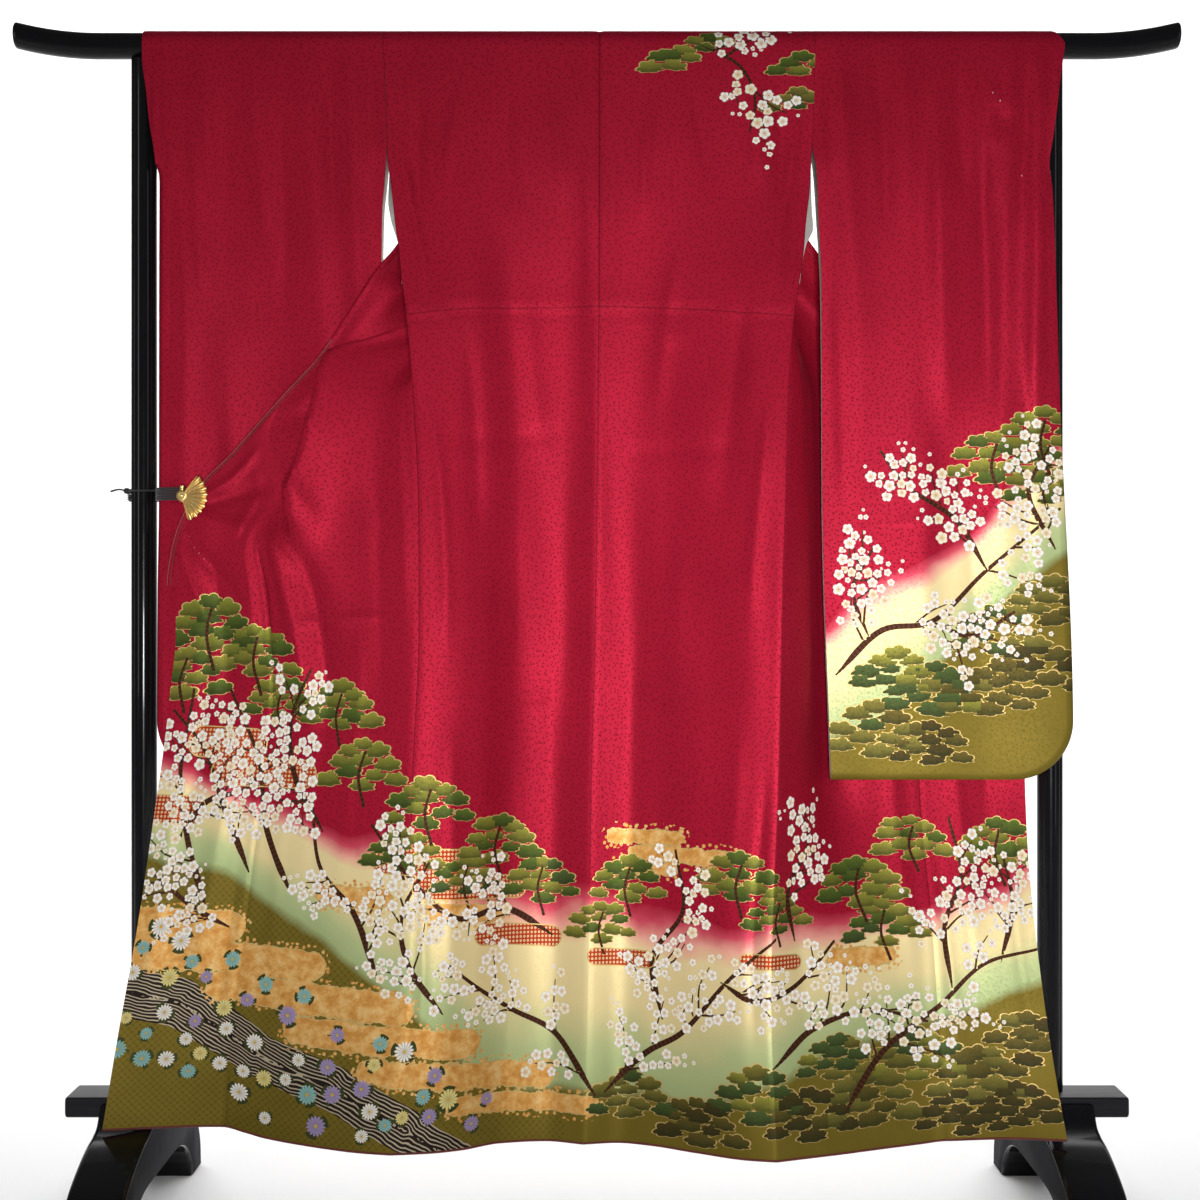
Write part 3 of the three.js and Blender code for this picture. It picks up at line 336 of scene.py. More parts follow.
# ---------------------------------------------------------------- feet
# Two arched feet, sawn from thick boards with a hump that hides the plank's tenon, their edges
# rounded over and lacquered like the rail, their sawn sides left duller; the sides' dark grey,
# lighter than the lacquer's black, is painted sheen. They stand on two flat pads each.
FOOT_X, FOOT_WIDTH, FOOT_EDGE = 0.6695, 0.080, 0.0045
FOOT_TOP = [(0, 155.7), (40.3, 155.7), (40.3, 177), (48, 174), (58, 163), (68, 152), (90, 145), (128, 138),
            (180, 122), (232, 99), (266, 72), (286, 36), (290, 0)]
FOOT_UNDER = [(222, 0), (212, 22), (190, 44), (160, 60), (125, 69), (90, 72), (0, 72)]


def smooth_span(p0, p1, p2, p3, d0, d1, d2, t):
    """The point at share t between p1 and p2 of a smooth line; each d is a root of a leg's length."""
    m1 = d1 * ((p1 - p0) / d0 - (p2 - p0) / (d0 + d1) + (p2 - p1) / d1)
    m2 = d1 * ((p2 - p1) / d1 - (p3 - p1) / (d1 + d2) + (p3 - p2) / d2)
    a, b = 2 * t ** 3 - 3 * t ** 2 + 1, t ** 3 - 2 * t ** 2 + t
    c, d = -2 * t ** 3 + 3 * t ** 2, t ** 3 - t ** 2
    return a * p1 + b * m1 + c * p2 + d * m2


def rounded_line(points, step):
    """A line through points, bent smoothly, with a point about every step."""
    points = np.asarray(points, dtype=float)
    ends = np.vstack([2 * points[0] - points[1], points, 2 * points[-1] - points[-2]])
    out = []
    for i in range(len(points) - 1):
        span = ends[i:i + 4]
        roots = [max(1e-6, np.linalg.norm(b - a)) ** 0.5 for a, b in zip(span, span[1:])]
        count = max(2, int(np.linalg.norm(span[2] - span[1]) / step) + 1)
        out += [smooth_span(*span, *roots, t) for t in np.linspace(0, 1, count, endpoint=False)]
    return np.array(out + [points[-1]])


# The feet's sides: a rougher lacquer whose grey base colour is painted sheen.
side_lacquer_sheen = Finish("foot_side_lacquer", Metallic=0.0, Specular_IOR_Level=0.05)
side_lacquer_sheen.varied(dye(30, 31, 35), dye(42, 43, 47), (9.0, 4.0), (30.0, 3.0, 0.15, 0.62),
                    (120.0, 2.0, 0.08, 0.0004))
half = np.vstack([FOOT_TOP[:2], rounded_line(FOOT_TOP[2:], 7), FOOT_UNDER[:1],
                  rounded_line(FOOT_UNDER[1:-1], 7)])
foot_outline = np.vstack([half[1:], [(0, 72)], (half * (-1, 1))[::-1][:-1]])
for name, side in (("foot_left", -1), ("foot_right", 1)):
    loop = foot_outline / 1000
    ahead, behind = np.roll(loop, -1, 0) - loop, loop - np.roll(loop, 1, 0)
    way = ahead / np.linalg.norm(ahead, axis=1)[:, None] + behind / np.linalg.norm(behind, axis=1)[:, None]
    way /= np.maximum(1e-9, np.linalg.norm(way, axis=1))[:, None]
    inwards = np.stack([-way[:, 1], way[:, 0]], 1)
    area = 0.5 * np.sum(loop[:, 0] * np.roll(loop[:, 1], -1) - np.roll(loop[:, 0], -1) * loop[:, 1])
    inwards *= 1 if area > 0 else -1
    rings = []
    stops = [(0.0, 1.0), (0.29, 0.55), (1.0, 0.10), (1.5, 0.0)]
    stops = [(depth * FOOT_EDGE, inset * FOOT_EDGE * 0.8) for depth, inset in stops]
    stops += [(FOOT_WIDTH - depth, inset) for depth, inset in stops[::-1]]
    for depth, inset in stops:
        ring = loop + inwards * inset
        ring[:, 1] = np.maximum(0.0, ring[:, 1])
        x = side * FOOT_X - FOOT_WIDTH / 2 + depth
        rings.append(np.stack([np.full(len(ring), x), ring[:, 0], ring[:, 1]], 1))
    foot = outwards(mesh_piece(name + "_lacquered", *ring_sweep(rings), [lacquer, side_lacquer_sheen], crease=50))
    # Faces that look along x, the sawn sides, take the painted-sheen grey.
    for face in foot.data.polygons:
        face.material_index = int(abs(face.normal.x) > 0.9)
    fitted(foot, name)

# ---------------------------------------------------------------- the body lengths: how the cloth lies
# Each body length is one strip of silk, front and back in one, folded over the shoulder on the rail
# and sewn to its neighbour down the middle of the back. The tables give where its seams hang.
# All in millimetres; columns: height, then x and depth, or x and y of each station of a front.
MIDDLE_SEAM = (
    (1721, 4, 21), (1379, 3, 30), (1040, 0, 42), (840, -3, 50), (640, -8, 58), (326, -13, 70),
    (130, -19.5, 77),
)
LEFT_SIDE = (
    (1721, -309, 21), (1600, -304, 23), (1526, -301, 27), (1499, -296.5, 30), (1433, -288.6, 38),
    (1395, -282.7, 44), (1357, -279, 50), (1316, -273, 55), (1153, -258, 70), (1045, -252, 80),
    (848, -250, 96), (644, -258, 110), (336, -265, 126), (130, -286.4, 134.7),
)
RIGHT_SIDE = (
    (1721, 315, 21), (1600, 312, 23), (1546, 309, 26), (1487, 305.5, 31), (1434, 299, 38),
    (1397, 295.7, 44), (1356, 289.3, 52), (1280, 278, 62), (1180, 270.6, 77), (1038, 265.4, 92),
    (918, 260.5, 103), (642, 253, 122), (341, 240, 152), (130, 246.4, 170),
)
LEFT_BACK_SWEEP = (
    (0, 0), (0.2, -0.32), (0.44, -0.12), (0.64, 0.54), (0.8, 0.84), (1, 1),
)
RIGHT_BACK_SWEEP = (
    (0, 0), (0.18, -0.1), (0.35, 0.06), (0.6, 0.5), (0.85, 0.9), (1, 1),
)
LEFT_FREE_EDGE = (
    (1700, -309, 21), (1610, -305, 21), (1526, -302.6, 19.5), (1480, -303, 4), (1440, -296, -18),
    (1426, -291, -26), (1405, -284, -35), (1394, -281, -38), (1370, -279, -43), (1348, -279, -47),
)
RIGHT_FREE_EDGE = (
    (1700, 315, 21), (1610, 312.4, 21.6), (1526, 311.6, 19), (1464, 312, 6), (1436, 313, -6),
    (1406, 300, -30), (1370, 292, -45), (1348, 289.6, -50),
)
# Stations of each front: three of slack, ridge, under-fold, overlap-panel seam, collar seam.
LEFT_FRONT = (
    (1700, -280, 21, -240, 21, -205, 21, -172, 21, -150, 21, -120, 21, -90, 21),
    (1682, -280, 20.8, -243, 20.6, -211, 20.4, -180, 20.4, -156, 20.6, -128, 20.8, -100.6, 21),
    (1610, -284, 12, -262, 1, -240, -5, -216, -6, -192, 1, -168, 10, -147.4, 15),
    (1526, -288, 2, -272, -11, -254, -18, -236, -19, -222, -15, -211, -7, -202, 4),
    (1464, -272, -16, -242, -22, -218, -24, -208, -18, -212, -8, -226, -5, -241, -7),
    (1426, -258, -27, -224, -25, -194, -17, -184, -3, -200, 6, -232, 0, -265, -14),
    (1394, -254, -36, -228, -30, -206, -18, -200, -3, -216, 6, -246, -4, -285, -27),
    (1370, -252, -40, -226, -33, -204, -18, -200, 2, -218, 12, -258, -6, -305, -33),
    (1348, -254, -42, -228, -33, -210, -18, -208, 0, -226, 8, -272, -26, -320, -38),
    (1290, -252, -46, -240, -32, -246, -20, -274, -26, -302, -35, -330, -40, -358, -42),
    (1245, -255, -48, -262, -38, -300, -42, -385, -56, -364, -47, -375, -43.5, -388, -43),
    (1183, -282, -60, -306, -57, -340, -60, -401, -67, -372, -53, -412, -48, -444, -46),
    (1110, -286, -68, -318, -66, -356, -68, -420, -73, -386, -57, -428, -51, -508, -47),
    (1045, -290, -74, -330, -71, -374, -72, -439, -75, -412, -59, -446, -53, -566, -48),
    (972, -296, -79, -342, -75, -384, -72, -430, -71, -450, -67, -481, -61, -594, -49),
    (918, -293, -83, -336, -77, -378, -73, -420, -70, -444, -66, -470, -62, -600, -50),
    (847, -290, -89, -330, -82, -370, -76, -408, -71, -436, -66, -463, -63, -600, -51),
    (776, -292, -93, -330, -85, -368, -78, -404, -71, -432, -66, -460, -62, -607, -50),
    (698, -296, -97, -335, -88, -374, -79, -411, -70, -440, -64, -466, -59, -616, -49),
    (597, -302, -101, -344, -90, -386, -79, -424, -69, -452, -62, -480, -57, -630, -51),
    (434, -312, -110, -360, -98, -406, -84, -448, -71, -474, -63, -500, -57, -652, -62),
    (265, -320, -119, -370, -106, -418, -91, -463, -75, -492, -65, -521, -57, -678, -76),
    (130, -333, -127, -381, -110, -429, -90, -474, -73, -502, -62, -530, -56, -696, -89),
)
RIGHT_FRONT = (
    (1700, 286, 21, 250, 21, 214, 21, 180, 21, 156, 21, 124, 21, 90, 21),
    (1682, 287, 20.8, 253, 20.6, 218, 20.4, 187, 20.4, 162, 20.6, 132, 20.8, 102, 21),
    (1610, 290, 12, 267, 1, 244, -5, 220, -6, 196, 2, 172, 12, 152, 20),
    (1526, 298, 2, 284, -10, 266, -17, 248, -18, 234, -12, 225, 3, 220, 22),
    (1464, 284, -8, 254, -17, 228, -20, 216, -12, 220, 4, 240, 17, 267, 27),
    (1436, 280, -14, 244, -21, 214, -20, 200, -6, 208, 10, 244, 24, 288, 28),
    (1406, 270, -30, 240, -26, 214, -16, 204, 0, 220, 16, 266, 24, 311, 28),
    (1350, 270, -38, 248, -26, 236, -10, 242, 6, 264, 18, 308, 24, 354, 28),
    (1280, 287, -42, 284, -20, 288, -2, 306, 10, 334, 18, 370, 22, 408, 24),
    (1183, 290, -60, 304, -34, 322, -8, 350, 9, 388, 17, 432, 20, 480, 18),
    (1040, 292, -66, 308, -34, 330, -8, 364, 8, 412, 14, 462, 14, 585, 12),
    (918, 290, -72, 309, -36, 334, -10, 370, 3, 417, 8, 465, 8, 597, 8),
    (640, 290, -76, 324, -22, 356, -9, 390, -5, 428, -2, 467, 0, 620, 0),
    (540, 290, -84, 330, -46, 364, -30, 398, -22, 434, -17, 472, -14, 621, -16),
    (440, 290, -104, 334, -76, 370, -60, 406, -48, 442, -41, 479, -37, 624, -46),
    (326, 288, -126, 334, -105, 374, -88, 412, -73, 448, -63, 484, -57, 632, -75),
    (200, 290, -141, 336, -120, 378, -101, 417, -86, 454, -76, 490, -71, 645, -106),
    (130, 294, -150, 340, -131, 382, -112, 421, -95, 458, -82, 493, -77, 652.6, -130),
)
LEFT_HEM_RISE = (
    (0, 0), (0.4, 4), (0.7, 13), (0.92, 21), (1, 22),
)
RIGHT_HEM_RISE = (
    (0, 0), (0.6, 1), (0.86, 5), (0.95, 15), (1, 18),
)
BACKSET = (
    (130, 0), (1150, 0.2), (1290, 3), (1700, 3),
)
EDGE_STATION = (
    (130, 6), (1045, 6), (1183, 7), (1700, 7),
)
HEM_Z, ARMHOLE_Z, COLLAR_END_Z, RAIL_MIDDLE_Z = 130, 1348, 918, 1700
RAIL_ROW = RAIL_MIDDLE_Z - HEM_Z                        # the height on the cloth where it meets the rail
HALF_BACK, FRONT_WIDTH, PANEL_WIDTH = 290, 245, 165     # flat widths of back, front and overlap panel
CLOTH_HALF = 0.45                                       # half the thickness of silk and lining
OVER_R = 21.0


def smooth_table(rows):
    """A smooth curve through (at, value) rows that never swings past its rows."""
    at, value = np.array(sorted(rows), dtype=float).T
    slope = np.diff(value) / np.diff(at)
    total = slope[:-1] + slope[1:]
    level = slope[:-1] * slope[1:] <= 0
    inner = np.where(level, 0.0, 2 * slope[:-1] * slope[1:] / np.where(level, 1.0, total))
    tangent = np.concatenate([slope[:1], inner, slope[-1:]])

    def curve(where):
        where = np.clip(where, at[0], at[-1])
        i = np.clip(np.searchsorted(at, where, side="right") - 1, 0, len(at) - 2)
        h = at[i + 1] - at[i]
        t = (where - at[i]) / h
        near = (1 + 2 * t) * (1 - t) ** 2 * value[i] + t * (1 - t) ** 2 * h * tangent[i]
        return near + t * t * (3 - 2 * t) * value[i + 1] + t * t * (t - 1) * h * tangent[i + 1]

    return curve


def column_curves(table):
    return [smooth_table([(row[0], row[k]) for row in table]) for k in range(1, len(table[0]))]


class Front:
    """One half of the garment's front: its side edge, its free edge in the armhole, its stations."""

    def __init__(self, side, edge, free, stations, rise, sweep):
        self.side = side
        self.edge, self.free = column_curves(edge), column_curves(free)
        self.stations = column_curves(stations)
        self.rise, self.sweep = smooth_table(rise), smooth_table(sweep)

    def points(self, z):
        behind = backset(z)
        first = (self.edge[0](z), behind - self.edge[1](z))
        if z >= ARMHOLE_Z:
            first = (self.free[0](z), self.free[1](z))
        rest = [(self.stations[k](z), self.stations[k + 1](z)) for k in range(0, len(self.stations), 2)]
        return np.array([first, *rest], dtype=float)

    def at(self, z, k):
        """Points on the section at height z, at station counts k from 0 at the side edge to 7."""
        p = self.points(z)
        i = np.clip(np.floor(k).astype(int), 0, 6)
        t = (k - i)[:, None]
        ends = np.vstack([2 * p[0] - p[1], p, 2 * p[-1] - p[-2]])
        span = [ends[i + step] for step in range(4)]
        roots = [np.linalg.norm(b - a, axis=1)[:, None] ** 0.5 for a, b in zip(span, span[1:])]
        return smooth_span(*span, *roots, t)

    def row(self, z, counts):
        """A row of the sheet at the given station counts, and how far along the cloth each point is."""
        k = np.linspace(counts[0], counts[-1], 200)
        run = np.linalg.norm(np.diff(self.at(z, k), axis=0), axis=1)
        run = np.concatenate([[0], np.cumsum(run)]) / run.sum()
        xy = self.at(z, np.asarray(counts))
        lift = self.rise(np.asarray(counts) / 7) * max(0.0, 1 - (z - HEM_Z) / 420) ** 2
        order = 1 if counts[-1] > counts[0] else -1
        return np.column_stack([xy, z + lift]), np.interp(np.asarray(counts) * order, k * order, run)


backset = smooth_table(BACKSET)
edge_station = smooth_table(EDGE_STATION)
middle = column_curves(MIDDLE_SEAM)
LEFT = Front(-1, LEFT_SIDE, LEFT_FREE_EDGE, LEFT_FRONT, LEFT_HEM_RISE, LEFT_BACK_SWEEP)
RIGHT = Front(1, RIGHT_SIDE, RIGHT_FREE_EDGE, RIGHT_FRONT, RIGHT_HEM_RISE, RIGHT_BACK_SWEEP)
NECK_SHARE, NECK_COLUMNS, FRONT_COLUMNS, ARC_ROWS = 90 / 312, 18, 48, 10
# Rows lie closer where the cloth is printed.
BODY_HEIGHTS = np.concatenate([np.arange(0, 790, 5.0), np.arange(790, 1420, 10.0),
                               np.arange(1420, 1566, 5.0)])


def body_sheet(front):
    """Middle surface and flat place of a body length, from the back's hem to the front's hem."""
    neck = np.linspace(0, NECK_SHARE, NECK_COLUMNS + 1)
    across = np.concatenate([neck, np.linspace(NECK_SHARE, 1, FRONT_COLUMNS + 1)[1:]])
    sheet, flat = [], []
    for height in BODY_HEIGHTS:
        z = HEM_Z + height
        x = middle[0](z) + (front.edge[0](z) - middle[0](z)) * across
        depth = middle[1](z) + (front.edge[1](z) - middle[1](z)) * front.sweep(across)
        sheet.append(np.stack([x, -depth, np.full(len(x), z)], 1))
        flat.append(np.stack([front.side * HALF_BACK * across, np.full(len(x), height)], 1))
    over = sheet[-1][:, 0]
    for angle in np.linspace(0, math.pi, ARC_ROWS):
        y, z = -OVER_R * math.cos(angle), RAIL_MIDDLE_Z + OVER_R * math.sin(angle)
        sheet.append(np.stack([over, np.full(len(over), y), np.full(len(over), z)], 1))
        flat.append(np.stack([front.side * HALF_BACK * across,
                              np.full(len(over), RAIL_ROW + OVER_R * angle)], 1))
    # The front starts with the row at the rail once more, with the front's own places on the cloth.
    # Each station keeps its column, so that folds stay sharp.
    shares = np.linspace(0, 1, FRONT_COLUMNS + 1)
    for height in [RAIL_ROW, *BODY_HEIGHTS[::-1]]:
        z = HEM_Z + height
        part = sheet[-1][NECK_COLUMNS:]
        if height < RAIL_ROW:
            last = float(edge_station(z))
            counts = np.concatenate([np.linspace(last, 5, 9)[:-1], np.linspace(5, 0, FRONT_COLUMNS - 7)])
            part, shares = front.row(z, counts)
        place = front.side * (HALF_BACK + FRONT_WIDTH * (1 - shares))
        beyond = part[0] + (part[0] - part[1]) * np.arange(NECK_COLUMNS, 0, -1)[:, None]
        sheet.append(np.vstack([beyond, part]))
        flat.append(np.vstack([flat[-1][:NECK_COLUMNS], np.stack([place, np.full(len(place), height)], 1)]))
    return np.array(sheet), np.array(flat)


def sheet_normals(sheet, side):
    """Unit normals of a middle surface, looking out of the garment, steady over sharp folds."""
    def unit(v):
        length = np.linalg.norm(v, axis=-1, keepdims=True)
        return v / np.where(length < 1e-9, 1, length)

    cell = unit(np.cross(sheet[1:, 1:] - sheet[:-1, :-1], sheet[:-1, 1:] - sheet[1:, :-1]))
    padded = np.pad(cell, ((1, 1), (1, 1), (0, 0)), mode="edge")
    return unit(padded[:-1, :-1] + padded[1:, :-1] + padded[:-1, 1:] + padded[1:, 1:]) * -side


def creases(flat, rows):
    """Height in mm of soft ridges and troughs; rows: s, h, s2, h2, height, half width."""
    total = np.zeros(flat.shape[:2])
    for s0, h0, s1, h1, height, half in rows:
        way = np.array([s1 - s0, h1 - h0], dtype=float)
        length = np.linalg.norm(way)
        away = flat - (s0, h0)
        t = (away @ way) / length ** 2
        off = (away[..., 0] * way[1] - away[..., 1] * way[0]) / length
        off = off + 3.0 * np.sin(t * 5.0 + s0 * 0.03)
        fade = np.clip(t * 3.0, 0, 1) * np.clip((1 - t) * 3.0, 0, 1)
        fade = fade * fade * (3 - 2 * fade)
        total += 1.7 * height * fade * np.exp(-np.abs(off / (half * (0.75 + 0.5 * np.clip(t, 0, 1)))) ** 1.7)
    return total


def cloth_piece(name, sheet, flat, side, keep, finishes, relief=None, print_on=None, tuck=None):
    """A thin closed shell on a middle surface: silk outside, lining inside, piping at the rim."""
    rows, cols = sheet.shape[:2]
    normal = sheet_normals(sheet, side)
    if relief is not None:
        sheet = sheet + normal * relief[..., None]
        normal = sheet_normals(sheet, side)
    ids = np.arange(rows * cols).reshape(rows, cols)
    a, b, c, d = (v[keep] for v in (ids[:-1, :-1], ids[1:, :-1], ids[1:, 1:], ids[:-1, 1:]))
    face = np.stack([a, b, c, d], 1) if side < 0 else np.stack([a, d, c, b], 1)
    count = rows * cols
    inner = face[:, ::-1] + count
    edges = {}
    for i in range(4):
        for p, q in zip(face[:, i].tolist(), face[:, (i + 1) % 4].tolist()):
            if (q, p) in edges:
                del edges[(q, p)]
            else:
                edges[(p, q)] = True
    rim = np.array([(q, p, p + count, q + count) for p, q in edges])
    faces = np.vstack([face, inner, rim])
    points = np.vstack([(sheet + normal * half).reshape(-1, 3) for half in (CLOTH_HALF, -CLOTH_HALF)]) / 1000
    used = np.unique(faces)
    new_id = np.full(2 * count, -1)
    new_id[used] = np.arange(len(used))
    kinds = np.concatenate([np.zeros(len(face)), np.ones(len(inner)), np.full(len(rim), 2)])
    made = mesh_piece(name, points[used], new_id[faces].tolist(), finishes, kinds)
    flats = np.vstack([flat.reshape(-1, 2)] * 2)[used]
    tucks = None if tuck is None else np.concatenate([tuck.ravel()] * 2)[used]
    dye_silk(made.data, flats, flat.reshape(-1, 2)[face], len(faces), print_on, tucks)
    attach(made, "root")
    return made


# ---------------------------------------------------------------- what is dyed on the silk
# The pattern is laid out on the flat cloth before it is sewn, so it runs over the seams: notched
# blossoms on boughs, cloud-shaped pine pads, asters, bands of gold mist and a stream. Places are
# in millimetres: across from the middle of the back, and up from the hem; sleeves start at 2000.
draw = np.random.RandomState(11)
SLEEVE_AT, FAR_SLEEVE_AT = 2000, 3000
blossoms, pads, asters, boughs = [], [], [], []     # rows: s, h, radius, turn, tint


def room_for(rows, s, h, radius, closeness):
    return all(math.hypot(s - r[0], h - r[1]) > closeness * (radius + r[2]) for r in rows)


def bough(points, thick, thin, start=1.0):
    line = rounded_line(points, 9)
    grows = np.minimum(1, start + np.arange(len(line)) / 6)
    boughs.append((line, np.linspace(thick, thin, len(line)) * grows))
    return line


def spray(points, thick=4.0, thin=1.4, full=1.0, twigs=9):
    """A bough with side twigs, its blossoms crowded near the twigs' ends."""
    line = bough(points, thick, thin, 0.2)
    for t in np.sort(draw.uniform(0.12, 0.98, twigs)):
        i = min(len(line) - 2, int(t * (len(line) - 1)))
        way = line[i + 1] - line[i]
        lean = math.atan2(way[1], way[0]) + draw.choice([-1, 1]) * draw.uniform(0.45, 1.05)
        length = draw.uniform(34, 84) * (1.1 - 0.4 * t)
        tip = line[i] + length * np.array([math.cos(lean), math.sin(lean)])
        bend = (line[i] + tip) / 2 + draw.uniform(-9, 9, 2)
        twig = bough([line[i], bend, tip], 1.8, 0.8)
        for step in range(int(18 * full)):
            at = draw.uniform(0.2, 1.0) ** 0.7
            spot = twig[int(at * (len(twig) - 1))] + draw.normal(0, 8.5, 2)
            radius = draw.uniform(5.4, 9.2)
            if room_for(blossoms, *spot, radius, 0.76):
                blossoms.append((*spot, radius, draw.uniform(0, 6.28), draw.uniform(0, 1)))
        for bud in range(4):
            spot = tip + (tip - bend) / length * draw.uniform(4, 44) + draw.normal(0, 5, 2)
            if room_for(blossoms, *spot, 3.6, 1.0):
                blossoms.append((*spot, draw.uniform(2.6, 4.4), draw.uniform(0, 6.28), 0.05))


def pine(s, h, size=1.0, tint=0.2, trunk=True, count=11):
    """Pads of needles in tiers over a leaning stem; tint 0 leaf green to 1 brown olive."""
    tiers = ((0, 0), (-26, -9), (27, -10), (-46, -27), (-6, -23), (44, -29), (-22, -42), (22, -45),
             (-58, -52), (60, -54),
             (0, -62), (-34, -74), (36, -78))
    for across, down in tiers[:count]:
        spot = (s + size * (across + draw.uniform(-6, 6)), h + size * (down + draw.uniform(-4, 4)))
        radius = size * draw.uniform(23, 33)
        pads.append((*spot, radius, draw.uniform(-0.12, 0.12),
                     min(0.99, max(0.0, tint + draw.uniform(-0.13, 0.13)))))
    if trunk:
        bough([(s + 2, h - 6), (s - 7 * size, h - 44 * size), (s + 6 * size, h - 92 * size)], 2.2 * size,
              2.8 * size)


# Right half and middle, from the hem up.
for place in (((30, 70), (96, 128), (150, 160), (230, 246), (300, 300)),
              ((392, 52), (452, 128), (540, 190), (612, 246), (700, 268)),
              ((290, 122), (352, 170), (440, 190), (520, 168)),
              ((120, 176), (104, 262), (150, 330), (136, 414)),
              ((560, 214), (556, 300), (590, 372), (578, 452)),
              ((330, 292), (318, 360), (356, 420), (350, 476)),
              ((212, 236), (262, 214), (330, 232), (392, 286)), ((640, 250), (668, 330), (660, 400))):
    spray(place, 5.2, 1.9, 1.3, 8)
for place in ((62, 392, 0.8, 0.18), (236, 404, 0.85, 0.2), (440, 388, 0.85, 0.15), (520, 446, 0.75, 0.22),
              (654, 440, 0.9, 0.15),
              (470, 330, 0.8, 0.3), (20, 330, 0.7, 0.25), (300, 352, 0.7, 0.22)):
    pine(*place)
for place in ((70, 92, 0.9, 0.52), (176, 66, 0.85, 0.8), (262, 112, 0.95, 0.45), (340, 80, 0.9, 0.92),
              (430, 96, 1.0, 0.62),
              (500, 150, 0.95, 0.42), (590, 118, 1.0, 0.66), (668, 170, 1.0, 0.75), (560, 60, 0.8, 0.95),
              (384, 150, 0.8, 0.4),
              (640, 70, 0.8, 0.95)):
    pine(*place, False)
# Left half, where the pattern climbs towards the front's edge.
for place in (((16, 66), (-50, 150), (-130, 190), (-232, 262)),
              ((-60, 290), (-140, 330), (-214, 322), (-290, 380), (-352, 452)),
              ((-330, 236), (-372, 330), (-430, 392), (-452, 486)),
              ((-470, 350), (-520, 440), (-548, 540), (-604, 640)),
              ((-600, 330), (-640, 420), (-668, 520), (-662, 640)),
              ((-540, 380), (-590, 470), (-640, 560), (-690, 610)),
              ((-430, 440), (-486, 520), (-500, 600), (-470, 668)),
              ((-232, 190), (-290, 262), (-300, 330), (-260, 400)),
              ((-560, 300), (-620, 330), (-690, 380)), ((-660, 420), (-620, 480), (-560, 500), (-520, 560))):
    spray(place, 5.4, 1.9, 1.45, 9)
for place in ((-150, 452, 0.85, 0.2), (-262, 508, 0.9, 0.18), (-372, 560, 0.9, 0.15), (-420, 640, 0.85, 0.2),
              (-560, 720, 0.95, 0.15),
              (-640, 760, 1.0, 0.12), (-520, 650, 0.8, 0.2), (-80, 392, 0.8, 0.25), (-300, 440, 0.8, 0.22),
              (-680, 690, 0.9, 0.25),
              (-200, 400, 0.7, 0.3)):
    pine(*place)
for i in range(420):
    spot = (draw.uniform(-700, -150), draw.uniform(20, 330))
    over_stream = spot[1] + 0.44 * spot[0] + 92
    radius = draw.uniform(9, 15)
    if abs(over_stream) < 118 * draw.uniform(0.1, 1) ** 0.5 and room_for(asters, *spot, radius, 1.3):
        asters.append((*spot, radius, draw.uniform(0, 6.28), draw.uniform(0, 1)))
# The sleeve whose back is seen, the far face of the other one, and a cluster on each shoulder.
for start in (SLEEVE_AT, FAR_SLEEVE_AT):
    for place in (((12, 150), (80, 214), (150, 226), (232, 300), (340, 388)),
                  ((232, 300), (190, 372), (120, 420), (84, 470)),
                  ((330, 330), (296, 412), (330, 478)), ((60, 206), (40, 270), (70, 330)),
                  ((150, 226), (206, 206), (268, 240))):
        spray([(start + s, h) for s, h in place], 4.8, 1.8, 1.3, 7)
    for s, h, size, tint in ((64, 98, 0.95, 0.6), (142, 74, 0.8, 0.85), (150, 156, 0.95, 0.45),
                             (226, 150, 0.9, 0.7),
                             (298, 186, 1.0, 0.8), (244, 236, 0.85, 0.5), (320, 280, 0.9, 0.65),
                             (96, 176, 0.8, 0.4),
                             (250, 486, 0.9, 0.18), (322, 520, 0.9, 0.2), (322, 446, 0.8, 0.22)):
        pine(start + s, h, size, tint, tint < 0.3)
for s, h in ((196, 1500), (-410, 1330)):
    spray([(s - 60, h + 66), (s - 6, h + 34), (s + 14, h - 14), (s + 8, h - 60)], 2.6, 1.2, 1.2, 6)
    for across, up, tint in ((-96, 52, 0.2), (78, 44, 0.2), (70, -8, 0.5), (-50, 76, 0.25)):
        pine(s + across, h + up, 0.72, tint, False, 5)
blossoms, pads, asters = (np.array(rows) for rows in (blossoms, pads, asters))
legs = [(*line[i], *line[i + 1], w[i], w[i + 1], i == 0, i == len(line) - 2, 9.0 * i)
        for line, w in boughs for i in range(len(line) - 1)]
legs = np.array(legs, dtype=float)

# Bands with round ends; columns: s, h, s2, h2, half width.
GOLD_MIST = ((-720, 306, -560, 300, 24), (-690, 262, -430, 250, 22), (-560, 214, -300, 198, 22),
             (-440, 160, -190, 146, 20),
             (-330, 110, -70, 92, 18), (-200, 60, 10, 52, 13), (-250, 330, -150, 326, 13),
             (36, 432, 140, 430, 10), (70, 408, 214, 406, 11), (44, 386, 132, 384, 8),
             (392, 262, 470, 262, 13),
             (-420, 352, -330, 350, 14))
STREAM = ((-740, 214, -620, 190, 36), (-620, 190, -500, 118, 34), (-500, 118, -380, 84, 32),
          (-380, 84, -270, 30, 30),
          (-270, 30, -190, -16, 26))
DOTTED_MIST = ((-330, 404, -196, 398, 19), (-270, 366, -120, 360, 16), (-640, 566, -560, 562, 22),
               (-600, 524, -470, 520, 20),
               (-170, 296, -60, 288, 15), (10, 262, 96, 258, 12), (-700, 470, -640, 468, 20),
               (250, 268, 330, 264, 10))


def band_distance(flats, bands):
    """Signed distance in mm to the nearest of some round-ended bands."""
    best = np.full(len(flats), 90.0)
    for s0, h0, s1, h1, half in bands:
        way = np.array([s1 - s0, h1 - h0], dtype=float)
        t = np.clip(((flats - (s0, h0)) @ way) / (way @ way), 0, 1)
        away = flats - ((s0, h0) + t[:, None] * way)
        best = np.minimum(best, np.hypot(away[:, 0], away[:, 1]) - half)
    return best


